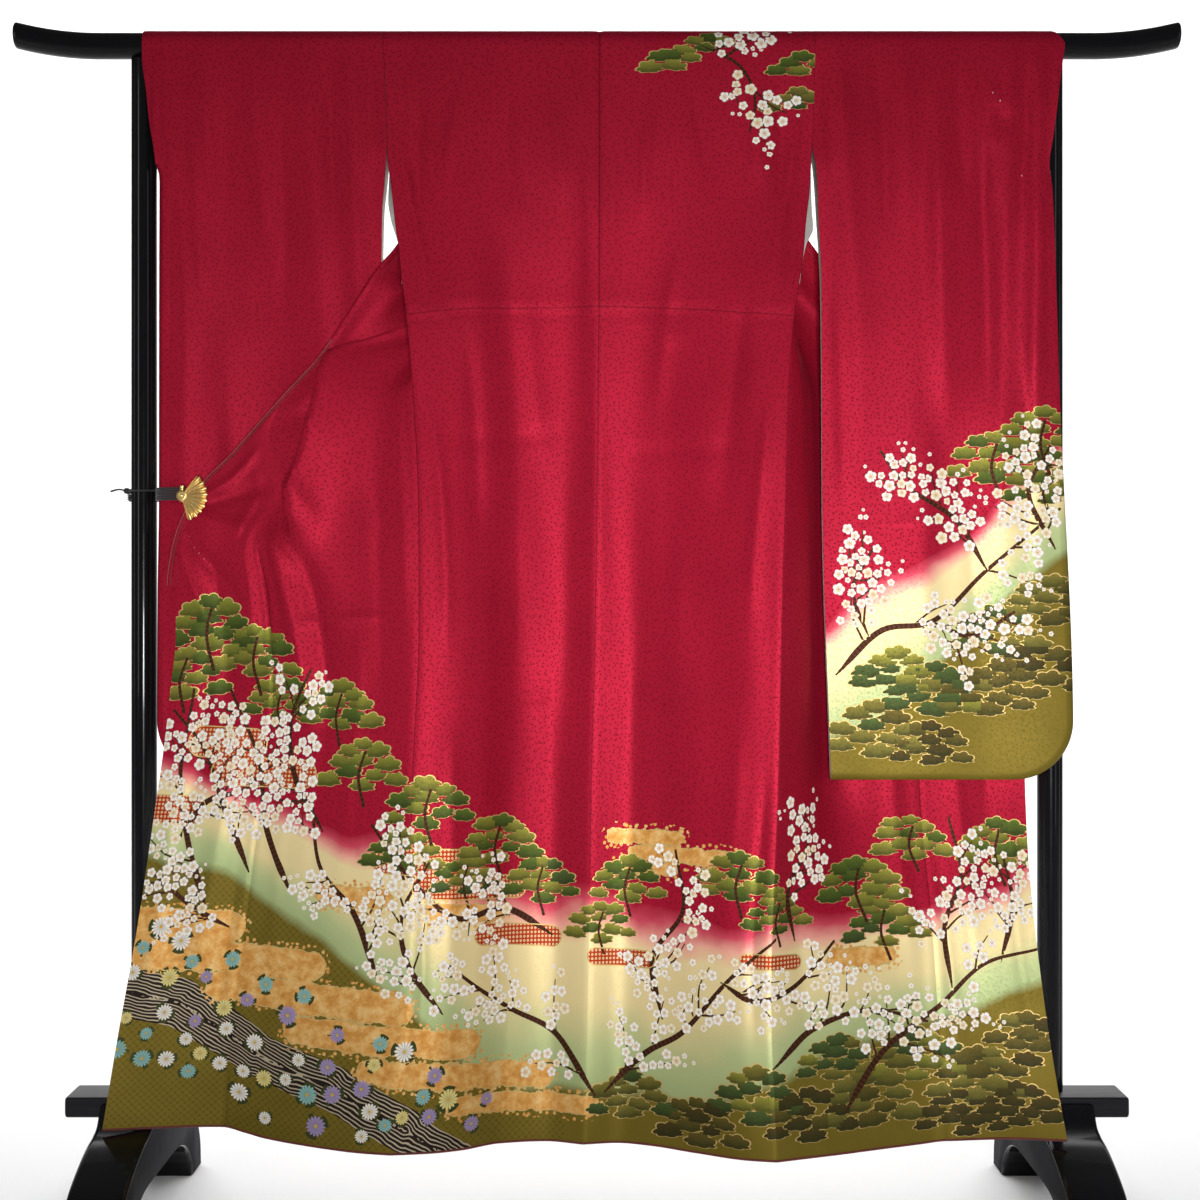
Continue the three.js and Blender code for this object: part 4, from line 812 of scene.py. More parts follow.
# Where the red fades out below, and where the olive ground starts; columns: s, height.
red_ends = smooth_table(((-705, 560), (-600, 500), (-500, 470), (-400, 452), (-290, 420), (-150, 372),
                         (0, 348),
                         (150, 330), (300, 318), (450, 330), (600, 336), (705, 392)))
olive_starts = smooth_table(((-705, 420), (-560, 372), (-420, 300), (-300, 214), (-180, 120), (-60, 84),
                             (60, 74), (200, 84),
                             (330, 120), (450, 166), (600, 190), (705, 236)))
sleeve_red_ends = smooth_table(((0, 232), (90, 286), (180, 330), (260, 420), (348, 492)))
sleeve_olive_starts = smooth_table(((0, 66), (80, 96), (170, 190), (260, 276), (348, 330)))


def ground_depths(flats):
    """How far each place lies below the end of the red and below the start of the olive."""
    s, h = flats.T
    red, olive = red_ends(s), olive_starts(s)
    for start in (SLEEVE_AT, FAR_SLEEVE_AT):
        on = (s > start - 50) & (s < start + 400)
        red = np.where(on, sleeve_red_ends(s - start), red)
        olive = np.where(on, sleeve_olive_starts(s - start), olive)
    drift = 9 * np.sin(s / 47 + 1) + 6 * np.sin(s / 23 + 2 + h / 60)
    plain = np.where((s > 900) & (s < 1900), 500, 0)
    return (red + drift - h) * 245 / (red - olive) - plain, olive + 0.6 * drift - h - plain


def near_rows(rows, centres, reach):
    """The rows whose first point lies near a group of faces."""
    low, high = centres.min(0) - reach, centres.max(0) + reach
    return rows[np.all((rows[:, :2] > low) & (rows[:, :2] < high), axis=1)]


def nearest(centres, corners, motifs, lift=0.0, flatness=1.0):
    """Each face's corners in the frame of its nearest motif, in units of its radius."""
    out = np.full((len(centres), 4, 3), 9.0)
    for start in range(0, len(centres), 1500):
        part = slice(start, start + 1500)
        rows = near_rows(motifs, centres[part], 70)
        if not len(rows):
            continue
        ds = (centres[part, None, 0] - rows[None, :, 0]) / rows[:, 2]
        dh = (centres[part, None, 1] - rows[None, :, 1]) / rows[:, 2] - lift
        measure = np.hypot(ds, dh * flatness)
        pick = measure.argmin(1)
        near = measure[np.arange(len(pick)), pick] < 2.2
        row = rows[pick]
        away = (corners[part] - row[:, None, :2]) / row[:, None, 2:3]
        turn = row[:, 3][:, None]
        x = away[..., 0] * np.cos(turn) + away[..., 1] * np.sin(turn)
        y = away[..., 1] * np.cos(turn) - away[..., 0] * np.sin(turn)
        local = np.stack([x, y, np.broadcast_to(row[:, 4][:, None], x.shape)], 2)
        out[part][near] = local[near]
    return out


def on_boughs(centres, corners):
    """Each face's corners beside its nearest stretch of bough: across, along, past the end."""
    out = np.full((len(centres), 4, 3), 9.0)
    for start in range(0, len(centres), 1000):
        part = slice(start, start + 1000)
        rows = near_rows(legs, centres[part], 30)
        if not len(rows):
            continue
        way = rows[:, 2:4] - rows[:, :2]
        length = np.linalg.norm(way, axis=1)
        away = centres[part, None] - rows[None, :, :2]
        t = np.clip((away * way).sum(2) / length ** 2, 0, 1)
        off = away - t[..., None] * way
        gap = np.hypot(off[..., 0], off[..., 1])
        pick = (gap - rows[:, 4]).argmin(1)
        near = gap[np.arange(len(pick)), pick] < 14
        row, w, size = rows[pick], way[pick], length[pick]
        away = corners[part] - row[:, None, :2]
        t = (away * w[:, None]).sum(2) / size[:, None] ** 2
        thick = row[:, 4:5] + (row[:, 5:6] - row[:, 4:5]) * np.clip(t, 0, 1)
        across = (away[..., 0] * w[:, None, 1] - away[..., 1] * w[:, None, 0]) / size[:, None] / thick
        past = np.where(row[:, 7:8] > 0, (t - 1) * size[:, None] / thick, -1.0)
        past = np.where((row[:, 6:7] > 0) & (t < 0.5), -t * size[:, None] / thick, past)
        local = np.stack([across, row[:, 8:9] + t * size[:, None], past], 2)
        out[part][near] = local[near]
    return out


def dye_silk(mesh, flats, corners, face_count, print_on, tuck=None):
    """Writes on a mesh where each place lies on the flat cloth, and which motifs it carries."""
    def store(name, kind, domain, values):
        field = mesh.attributes.new(name, kind, domain)
        field.data.foreach_set("value" if kind == "FLOAT" else "vector",
                               np.ascontiguousarray(values, np.float32).ravel())

    store("flat", "FLOAT_VECTOR", "POINT", np.column_stack([flats, np.zeros(len(flats))]))
    red, olive = ground_depths(flats)
    store("ground", "FLOAT_VECTOR", "POINT", np.column_stack([red, olive, np.zeros(len(flats))]))
    bands = [band_distance(flats, rows) for rows in (GOLD_MIST, STREAM, DOTTED_MIST)]
    store("bands", "FLOAT_VECTOR", "POINT", np.column_stack(bands))
    tuck = np.full(len(flats), 99.0) if tuck is None else tuck
    store("tuck", "FLOAT_VECTOR", "POINT", np.column_stack([tuck, tuck, tuck]))
    centres = corners.mean(1)
    if print_on is None:
        print_on = np.ones(len(centres), dtype=bool)
    layers = {
        "blossom": lambda c, k: nearest(c, k, blossoms),
        "pad": lambda c, k: nearest(c, k, pads, 0.12, 1.7),
        "aster": lambda c, k: nearest(c, k, asters),
        "bough": on_boughs,
    }
    for name, place in layers.items():
        values = np.full((face_count, 4, 3), 9.0)
        if print_on.any():
            first = values[:len(centres)]
            first[print_on] = place(centres[print_on], corners[print_on])
        store(name, "FLOAT_VECTOR", "CORNER", values)


# ---------------------------------------------------------------- the silk
# Silk crepe with a fine woven speckle, dyed crimson that fades through rose and cream to green and
# olive; motifs are paste-resist dyed and outlined in gold.
SATIN = 0.36                    # how much of the sheen takes the colour of the dyed thread


def silk_finish(name, printed):
    silk = Finish(name, Sheen_Weight=0.05, Sheen_Roughness=0.3, Sheen_Tint=(0.9, 0.3, 0.4, 1),
                  Specular_IOR_Level=0.16, Specular_Tint=(1.0, 0.5, 0.55, 1), Metallic=SATIN)
    read = lambda field: silk.node("ShaderNodeAttribute", {"attribute_name": field}, None, 1)
    apart = lambda vector: silk.node("ShaderNodeSeparateXYZ", None, {0: vector})
    flat = read("flat")
    crepe = silk.noise(0.55, 3.0, flat, 0.6)
    speckle = silk.cells(0.16, flat)
    cloudy = silk.noise(0.006, 2.0, flat)
    crimson = silk.mix(cloudy, dye(150, 18, 42), dye(176, 24, 52))
    crimson = silk.mix((speckle < 0.22) * 0.5, crimson, dye(106, 9, 30))
    place = apart(flat)
    # The thin dark lines at the back's middle seam, the side seams, the overlap panels' seams and along the
    # hip tuck's edge are painted shade, where the cloth dips into the seams and under the tuck's fold.
    across = place.out(0).math("ABSOLUTE")
    seam = (across < 1.1).math("MAXIMUM", ((across - 290.0).math("ABSOLUTE") < 1.0).math(
        "MAXIMUM", ((across - 535.0).math("ABSOLUTE") < 1.0) * (place.out(1) < 840.0))) * (across < 720.0)
    tuck = apart(read("tuck")).out(0)
    # Painted shade: seams and the tuck's edge darkened towards a deep crimson.
    crimson = silk.mix((seam.math("MAXIMUM", (tuck + 0.6).math("ABSOLUTE") < 0.8)) * 0.55, crimson,
                       dye(84, 6, 20))
    colour, relief = crimson, crepe
    if printed:
        ground = apart(read("ground"))
        red, olive = ground.out(0), ground.out(1)
        uneven = (silk.noise(0.02, 3.0, flat) - 0.5) * 34
        fade = ((red + uneven) * (1 / 290) + 0.01).clamp()
        ramp = silk.ramp(fade, (
            (0.0, 160, 21, 46), (0.07, 200, 72, 90), (0.15, 234, 166, 148), (0.23, 234, 214, 160),
            (0.50, 228, 210, 154), (0.70, 184, 194, 138), (1.0, 150, 172, 118)))
        colour = silk.mix(((red + uneven) > -4.0), crimson, ramp)
        olive_in = ((olive + uneven * 0.4) * (1 / 16)).clamp()
        diamonds = apart(silk.node("ShaderNodeVectorMath", {"operation": "MULTIPLY"},
                                   {0: flat, 1: (0.30, 0.30, 0)}))
        one_way, other_way = diamonds.out(0) + diamonds.out(1), diamonds.out(0) - diamonds.out(1)
        weave = one_way.math("SINE") * other_way.math("SINE")
        lattice = (weave.math("ABSOLUTE") < 0.10) * (place.out(0) < -30.0) * (place.out(0) > -900.0)
        olive_dye = silk.mix(silk.noise(0.012, 3.0, flat), dye(106, 93, 30), dye(128, 112, 42))
        olive_dye = silk.mix(lattice * 0.45, olive_dye, dye(56, 47, 14))
        colour = silk.mix(olive_in, colour, olive_dye)
        bands = apart(read("bands"))
        wavy = (silk.noise(0.02, 2.0, flat) - 0.5) * 22
        ripple = (bands.out(1) * 1.25 + wavy + place.out(0) * 0.02).math("SINE")
        water = silk.mix(ripple > 0.45, dye(38, 34, 30), dye(186, 172, 146))
        colour = silk.mix(bands.out(1) < 0.0, colour, water)
        leaf = silk.ramp(silk.noise(0.06, 4.0, flat, 0.65), (
            (0.30, 196, 134, 62), (0.45, 214, 156, 80), (0.56, 226, 178, 106), (0.70, 234, 200, 138)))
        flakes = silk.cells(0.11, flat)
        ragged = bands.out(0) + (silk.noise(0.05, 4.0, flat, 0.6) - 0.5) * 16
        gold_band = (ragged < 0.0).math("MAXIMUM", (ragged < 9.0) * (flakes < 0.28))
        colour = silk.mix(gold_band, colour, leaf)
        dots = silk.cells(0.17, flat, Randomness=0.0)
        tied = silk.mix((dots < 0.30) * (dots > 0.10), dye(176, 62, 26), dye(232, 206, 160))
        colour = silk.mix(bands.out(2) < 0.0, colour, tied)
        band_edge = (ragged.math("ABSOLUTE") < 0.7).math("MAXIMUM", bands.out(2).math("ABSOLUTE") < 0.8)

        pad = apart(read("pad"))
        x, y, tint = pad.out(0), pad.out(1), pad.out(2)
        tall = y * 1.55 + (y * -1.0).math("MAXIMUM", 0.0) * -2.3
        far, turn = (x * x + tall * tall).math("SQRT"), tall.math("ARCTAN2", x)
        reach = (turn * 3.5).math("SINE").math("ABSOLUTE") * 0.2 + 0.78
        inside = far - reach
        leaf_green = silk.ramp(tint, (
            (0.0, 150, 152, 58), (0.14, 98, 118, 44), (0.24, 158, 154, 62), (0.36, 84, 104, 52),
            (0.5, 138, 128, 56), (0.66, 112, 98, 42), (0.82, 84, 70, 32)), "CONSTANT")
        needles = silk.mix((1.0 - (tall + 0.1).clamp()) * 0.72, leaf_green, dye(38, 50, 26))
        rays = ((turn * 30.0).math("SINE") > 0.2) * (far > 0.25) * 0.3
        needles = silk.mix(rays, needles, dye(24, 34, 18))
        pad_in = (inside < 0.0) * (far < 3.0)
        colour = silk.mix(pad_in, colour, needles)
        pad_line = pad_in * (inside > -0.085)

        bough_at = apart(read("bough"))
        across = bough_at.out(0).math("ABSOLUTE")
        bough_in = (across < 1.0) * (bough_at.out(2) < 0.6)
        bark = silk.mix((bough_at.out(1) * 0.9).math("SINE") > 0.4, dye(74, 44, 26), dye(52, 30, 20))
        colour = silk.mix(bough_in, colour, bark)

        def petals(field, count, centre, long, wide):
            spot = apart(read(field))
            far = (spot.out(0) * spot.out(0) + spot.out(1) * spot.out(1)).math("SQRT")
            turn = spot.out(1).math("ARCTAN2", spot.out(0))
            step = 2 * math.pi / count
            fold = (turn + step / 2 + 10 * step).math("FLOORED_MODULO", step) - step / 2
            px, py = (far * fold.math("COSINE") - centre) * (1 / long), far * fold.math("SINE") * (1 / wide)
            edge = (px * px + py * py).math("SQRT") - 1.0
            gap = far * (step / 2 - fold.math("ABSOLUTE")).math("SINE")
            return spot, far, turn, edge, gap

        spot, far, turn, edge, gap = petals("aster", 15, 0.60, 0.40, 0.15)
        head = (edge.math("MINIMUM", far - 0.62) < 0.0) * (far < 3.0)
        petal = silk.ramp(spot.out(2), (
            (0.0, 236, 232, 220), (0.34, 158, 142, 182), (0.56, 132, 184, 178), (0.78, 226, 212, 134)),
            "CONSTANT")
        petal = silk.mix((gap < 0.035) * (far > 0.2) * 0.55, petal, dye(120, 112, 110))
        petal = silk.mix(far < 0.18, petal, dye(206, 170, 60))
        leafage = (far > 0.0) * (far < 1.32) * ((turn * 2.5 + spot.out(2) * 9.0).math("SINE") > 0.25)
        colour = silk.mix(leafage, colour, dye(62, 70, 36))
        colour = silk.mix(head, colour, petal)

        spot, far, turn, edge, gap = petals("blossom", 5, 0.54, 0.46, 0.46)
        flower = (edge.math("MINIMUM", far - 0.42) < 0.0) * (far < 3.0)
        white = silk.mix(spot.out(2) > 0.8, dye(243, 240, 232), dye(240, 230, 204))
        white = silk.mix((1.0 - far * 1.6).clamp() * 0.4, white, dye(226, 190, 168))
        lines = ((edge > -0.13) * (far > 0.42)).math("MAXIMUM", (gap < 0.03) * (far > 0.34))
        white = silk.mix(lines * 0.6, white, dye(186, 160, 140))
        stamens = ((turn * 11.0).math("COSINE") > 0.45) * (far > 0.12) * (far < 0.44)
        white = silk.mix(stamens.math("MAXIMUM", far < 0.13), white, dye(200, 158, 62))
        colour = silk.mix(flower, colour, white)
        whites = flower.math("MAXIMUM", head)
        gold_thread = (pad_line * (1.0 - bough_in)).math("MAXIMUM",
                                                         band_edge * (1.0 - pad_in)) * (1.0 - whites)
        colour = silk.mix(gold_thread, colour, dye(206, 176, 112))
        relief = crepe + (whites * 0.5 + gold_thread * 0.8)
        silk.feed("Metallic", SATIN * (1.0 - 0.8 * whites) + gold_thread * 0.35)
    silk.feed("Base Color", colour)
    silk.feed("Roughness", silk.noise(0.18, 2.0, flat) * 0.12 + 0.42 + (speckle < 0.2) * 0.1)
    silk.bump(relief, 0.22, 0.0005)
    return silk


plain_silk = silk_finish("crimson_silk", False)
printed_silk = silk_finish("printed_silk", True)
lining = Finish("white_lining_silk", Sheen_Weight=0.2, Sheen_Roughness=0.4)
lining_flat = lining.node("ShaderNodeAttribute", {"attribute_name": "flat"}, None, 1)
lining.varied(dye(206, 200, 192), dye(222, 217, 209), (0.05, 3.0), (0.4, 2.0, 0.15, 0.45),
              (0.9, 2.0, 0.12, 0.0004),
              lining_flat)
piping = Finish("reddish_piping", Sheen_Weight=0.15)
piping.varied(dye(92, 30, 24), dye(120, 44, 34), (60.0, 2.0), (300.0, 2.0, 0.2, 0.5),
              (900.0, 2.0, 0.2, 0.0003))
SILK_SIDES = [printed_silk, lining, piping]

# ---------------------------------------------------------------- body lengths
# The two body lengths, each one strip of silk with its lining, front and back in one; their
# seam runs down the middle of the back. Soft creases run where the cloth is pulled or was folded.
RIGHT_CREASES = (
    (70, 1500, 60, 1290, 1.5, 9), (128, 1540, 150, 1330, -1.4, 10), (186, 1550, 228, 1350, 1.8, 11),
    (232, 1545, 262, 1300, -1.7, 9), (270, 1490, 250, 1200, 1.8, 8), (120, 1300, 84, 1010, 1.2, 14),
    (214, 1240, 196, 860, -1.5, 16), (262, 1100, 240, 700, 1.6, 11), (140, 900, 120, 500, 1.1, 20),
    (60, 760, 70, 330, -1.1, 18), (226, 640, 214, 180, 1.6, 15), (268, 560, 262, 120, -1.6, 9),
    (16, 1480, 20, 1120, -0.9, 6), (40, 1180, 150, 1130, 0.9, 12), (20, 640, 250, 612, 0.8, 9),
    (20, 970, 262, 990, -0.8, 8), (300, 1480, 330, 1240, 1.8, 10), (380, 1520, 410, 1260, -1.8, 12),
    (460, 1400, 470, 1000, 1.6, 14), (350, 1000, 356, 560, 1.6, 16), (430, 800, 425, 300, -1.5, 15),
    (500, 700, 505, 200, 1.3, 12), (330, 500, 345, 90, -1.3, 12),
)
LEFT_CREASES = (
    (-60, 1520, -52, 1320, 1.1, 9), (-120, 1540, -128, 1300, -1.3, 11), (-180, 1550, -214, 1340, 1.4, 10),
    (-240, 1530, -262, 1280, -1.6, 9), (-272, 1460, -256, 1180, 1.8, 8), (-110, 1240, -90, 940, 1.0, 16),
    (-205, 1180, -188, 820, -1.4, 15), (-258, 1060, -244, 640, 1.5, 11), (-150, 860, -132, 460, 1.0, 19),
    (-66, 700, -70, 300, -1.0, 17), (-228, 600, -220, 160, 1.5, 14), (-272, 520, -266, 110, -1.5, 9),
    (-20, 1440, -16, 1100, 0.9, 6), (-30, 1010, -255, 992, -0.8, 8), (-24, 640, -250, 614, 0.8, 9),
    (-305, 1120, -318, 700, 1.6, 10), (-345, 1040, -350, 560, -1.4, 13), (-392, 760, -396, 260, 1.5, 13),
    (-440, 640, -446, 150, -1.2, 12), (-498, 620, -492, 160, 1.3, 10), (-300, 742, -520, 736, 1.0, 7),
    (-300, 592, -520, 586, -1.0, 7), (-330, 1400, -350, 1240, 1.4, 9), (-430, 1480, -420, 1290, -1.6, 11),
    (-500, 1100, -420, 1000, 1.7, 9), (-512, 1060, -440, 860, 1.6, 9), (-505, 1140, -400, 1130, -1.2, 8),
    (-514, 1000, -470, 760, -1.4, 10), (-540, 1010, -455, 1060, -1.8, 9), (-540, 880, -470, 800, 2.0, 9),
    (-516, 900, -476, 560, 4.0, 17), (-470, 880, -432, 520, -3.2, 16),
)


def slow_sway(flat, amount):
    """Long shallow waves all over a hanging sheet, mm."""
    s, h = flat[..., 0], flat[..., 1]
    return amount * (np.sin(s / 31 + h / 210 + 0.6) * 0.5 + np.sin(s / 57 - h / 330 + 2.1) * 0.7
                     + 0.35 * np.sin(s / 17 + h / 96 + np.sin(h / 130)))


def seam_dip(distance, depth=0.9, reach=3.2):
    """Cloth drawn in beside a seam; distance from the seam in mm."""
    return -depth * np.exp(-(distance / reach) ** 2)


def panel_seam(front, across, height):
    """The dip beside the overlap panel's seam; the drawn-out left front is pulled in deeper."""
    beyond = across - HALF_BACK - FRONT_WIDTH
    return seam_dip(beyond, 1.0 if front is RIGHT else 2.4) * np.clip((850 - height) / 60, 0, 1)


# The tuck that takes up the length at the hips lies low on the back: across, height.
TUCK = smooth_table(((-290, 1304), (-205, 1313), (-105, 1317), (0, 1319), (150, 1313), (215, 1307),
                     (290, 1302)))
body_sheets, panel_sheets = {}, {}
for name, front, rows in (("body_left", LEFT, LEFT_CREASES), ("body_right", RIGHT, RIGHT_CREASES)):
    sheet, flat = body_sheet(front)
    back_rows = len(BODY_HEIGHTS) + ARC_ROWS
    keep = np.ones((len(sheet) - 1, sheet.shape[1] - 1), dtype=bool)
    keep[back_rows - 1:, :NECK_COLUMNS] = keep[back_rows - 1] = False
    across, height = np.abs(flat[..., 0]), flat[..., 1]
    relief = creases(flat, rows) + slow_sway(flat, 1.5)
    free = np.clip(height / 60, 0, 1) * np.clip((RAIL_ROW - height) / 120, 0, 1)
    relief *= free * np.clip(across / 26, 0.15, 1) * (1 - 0.75 * np.exp(-((across - HALF_BACK) / 14) ** 2))
    relief *= np.clip((HALF_BACK + FRONT_WIDTH - across) / 24, 0, 1)
    relief += seam_dip(across, 1.1) * (np.arange(len(sheet)) < back_rows)[:, None]
    relief += seam_dip(np.abs(across - HALF_BACK), 1.2) * np.clip((1225 - height) / 20, 0, 1)
    relief += panel_seam(front, across, height)
    if front is LEFT:
        # The great pleat: its ridge runs down from the armhole to the overlap panel's seam.
        column = np.arange(sheet.shape[1])[None, :] - NECK_COLUMNS
        window = np.clip((height - 830) / 60, 0, 1) * np.clip((1190 - height) / 80, 0, 1)
        on_front = (np.arange(len(sheet)) > back_rows)[:, None]
        relief += 5.0 * np.exp(-((column - 17) / 4.5) ** 2) * window * on_front
    on_back = (np.arange(len(sheet)) < back_rows)[:, None] & (across < HALF_BACK)
    above = height + HEM_Z - TUCK(flat[..., 0])
    fold = np.where(above > -1, 1.1 * np.exp(-np.maximum(above, 0) / 26),
                    0) - 0.7 * np.exp(-((above + 4) / 4) ** 2)
    relief += fold * on_back
    plain = (height > 720) & ~((np.abs(height - 1500) < 130) | (np.abs(height - 1330) < 140))
    corner = lambda v: v[:-1, :-1][keep]
    body_sheets[name] = (sheet, flat)
    body = cloth_piece(name + "_silk", sheet, flat, front.side, keep, SILK_SIDES, relief, corner(~plain),
                       np.where(on_back, above, 99.0))
    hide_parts(name)

# ---------------------------------------------------------------- overlap panels
# A tapering panel is sewn to each front's edge from the collar's end down to the hem; on the left
# it is drawn out over the foot of the stand, and the pattern climbs highest on it.
for name, front in (("okumi_left", LEFT), ("okumi_right", RIGHT)):
    heights = np.concatenate([np.arange(0, 790, 5.0), np.arange(790, 1039, 8.0), [1040.0]])[::-1]
    sheet, flat = [], []
    for height in heights:
        z = HEM_Z + height
        row, shares = front.row(z, np.linspace(float(edge_station(z)), 7.0, 34))
        sheet.append(row)
        taper = PANEL_WIDTH * float(np.clip((7 - edge_station(z)), 0, 1))
        flat.append(np.stack([front.side * (HALF_BACK + FRONT_WIDTH + taper * shares),
                              np.full(len(shares), height)], 1))
    sheet, flat = np.array(sheet)[:, ::-1], np.array(flat)[:, ::-1]
    rows = [(front.side * s, h, front.side * s2, h2, d, w) for s, h, s2, h2, d, w in (
        (600, 980, 565, 620, 1.2, 11), (650, 800, 640, 380, -1.3, 13), (590, 600, 600, 180, 1.4, 14),
        (670, 520, 676, 120, 1.3, 10), (640, 860, 596, 560, -4.5, 26), (566, 900, 560, 640, 2.4, 14),
        (720, 905, 560, 985, 2.0, 6), (720, 902, 545, 930, -2.2, 7), (720, 898, 550, 858, 2.4, 8),
        (720, 890, 586, 770, -2.4, 9), (716, 880, 640, 720, 2.0, 8), (560, 420, 556, 80, -1.1, 10),
        (550, 742, 690, 736, 0.9, 7),
        (550, 590, 690, 584, -0.9, 7))]
    across, height = np.abs(flat[..., 0]), flat[..., 1]
    relief = (creases(flat, rows) + slow_sway(flat, 1.4)) * np.clip(height / 60, 0, 1)
    relief *= np.clip((across - HALF_BACK - FRONT_WIDTH) / 20, 0, 1)
    relief += panel_seam(front, across, height)
    keep = np.ones((len(sheet) - 1, 33), dtype=bool)
    panel_sheets[name] = sheet
    panel = cloth_piece(name + "_silk", sheet, flat, front.side, keep, SILK_SIDES, relief)
    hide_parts(name)

# ---------------------------------------------------------------- collar
# The collar is one long band, folded in half along its length and sewn to the neck and the front
# edges; its back leaf is turned in, and on the held-out front it is edged with two fine pipings.
COLLAR_FOLD = 5.6
# How far the collar stands beyond its seam, and how far its back leaf is turned in; with height.
COLLAR_SHOWN = ((918, 12), (1045, 8), (1099, 6), (1350, 6), (1430, 7), (1526, 8), (1600, 12), (1668, 14),
                (1700, 22))
COLLAR_TURNED = ((918, 31), (1290, 40), (1348, 12), (1430, -2), (1555, -2), (1700, 0))
collar_shown, collar_turned = smooth_table(COLLAR_SHOWN), smooth_table(COLLAR_TURNED)


def collar_stops(front, heights):
    stops = []
    for z in heights:
        seam, inner = (np.array([*place, z]) for place in front.at(z, np.array([7.0, 6.88])))
        stops.append((seam, inner, z, True))
    return stops


down = np.concatenate([np.arange(COLLAR_END_Z, 1560, 6.0), np.arange(1560, 1683, 4.0), [1682.0]])
stops = collar_stops(LEFT, down)
for x in np.linspace(-70, 70, 15):
    seam, inner = np.array([x, OVER_R, 1691.0]), np.array([x, OVER_R, 1700.0])
    stops.append((seam, inner, 1700.0, False))
stops += collar_stops(RIGHT, down[::-1])
band, flat, run = [], [], 0.0
for i, (seam, inner, z, on_front) in enumerate(stops):
    before, after = stops[max(0, i - 1)][0], stops[min(len(stops) - 1, i + 1)][0]
    way = (after - before) / np.linalg.norm(after - before)
    out = seam - inner
    out = out - way * (out @ way)
    out /= np.linalg.norm(out)
    face = np.cross(way, out)
    shown = float(collar_shown(z))
    leaf = -float(collar_turned(z)) if on_front else shown / 2 - 2
    fold = COLLAR_FOLD / 2
    spots = [(a, 0.0) for a in np.linspace(0.2, shown, 7)]
    spots += [(shown + fold * math.sin(t), -fold + fold * math.cos(t)) for t in np.linspace(0, math.pi,
                                                                                            9)[1:-1]]
    spots += [(a, -COLLAR_FOLD) for a in np.linspace(shown, leaf, 9)]
    row = np.array([seam + out * a + face * b for a, b in spots])
    width = np.concatenate([[0], np.cumsum(np.linalg.norm(np.diff(row, axis=0), axis=1))])
    run += np.linalg.norm(seam - stops[i - 1][0]) if i else 0
    band.append(row)
    flat.append(np.stack([1200 + width, np.full(len(row), run)], 1))
band, flat = np.array(band), np.array(flat)
ripple = 0.5 * np.sin(flat[..., 1] / 23) * np.sin(flat[..., 1] / 61) * np.clip((flat[..., 0] - 1200) / 6, 0,
                                                                               1)
collar_sides = [plain_silk, plain_silk, piping]
keep = np.ones((len(band) - 1, band.shape[1] - 1), dtype=bool)
collar = cloth_piece("collar_silk", band, flat, 1, keep, collar_sides, ripple,
                     np.zeros(keep.size, dtype=bool))
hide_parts("collar")

# ---------------------------------------------------------------- sleeves
# Each long sleeve is one length of lined silk folded over at the shoulder, sewn along its bottom,
# its rounded corner and its outer edge up to the hand's opening; its inner edge stays open.
# The tables give each sleeve's edges and the depth of its layers; columns: height, millimetres.
LEFT_CUFF = (
    (1719, -655.6), (1677, -655), (1631, -649), (1585, -644), (1540, -636), (1498, -632), (1044, -632),
    (900, -634), (640, -635),
)
LEFT_LAYERS = dict(
    inner=((1721, -309.9), (1526, -303.9), (1490, -306.4), (1459, -309), (1371, -310), (1100, -312),
        (640, -318)),
    front=((1700, 21), (1600, 21.4), (1526, 22), (1400, 22), (1300, 21), (1200, 20), (640, 19)),
    rear_inner=((1700, -21), (1526, -19.6), (1460, -11), (1400, -4), (1200, 3), (640, 7)),
    rear_outer=((1700, -21), (1640, -20.6), (1526, -12), (1400, -4), (1200, 3), (640, 7)),
    outer=LEFT_CUFF, outer_rear=LEFT_CUFF,
)
RIGHT_LAYERS = dict(
    inner=((1721, 315.6), (1546, 313), (1500, 316), (1445, 318), (1352, 322), (1040, 323), (639, 335)),
    outer=((1721, 676.5), (1703, 675), (1647, 666), (1604, 660.5), (1562, 654.6), (1524, 649), (1490, 653.6),
        (1419, 657), (1318, 660), (1185, 664), (753, 682), (640, 683)),
    outer_rear=((1721, 634), (1562, 633), (1532, 636), (1524, 649), (1490, 653.6), (1419, 657), (1318, 660),
        (1185, 664), (753, 682), (640, 683)),
    front=((1700, 21), (1526, 31), (1400, 33), (1200, 35), (900, 38), (640, 39)),
    rear_inner=((1700, -21), (1640, -22.5), (1526, -18.5), (1450, -6), (1400, 3), (1300, 14), (1200, 20),
        (900, 25), (640, 28)),
    rear_outer=((1700, -21), (1640, -12), (1580, 10), (1540, 23), (1524, 24.5), (640, 28)),
)
SLEEVE_BOTTOM_Z, NOTCH_Z, CORNER_R, CLOSING = 640, 1526, 85, 11
COLUMNS_ACROSS = 72
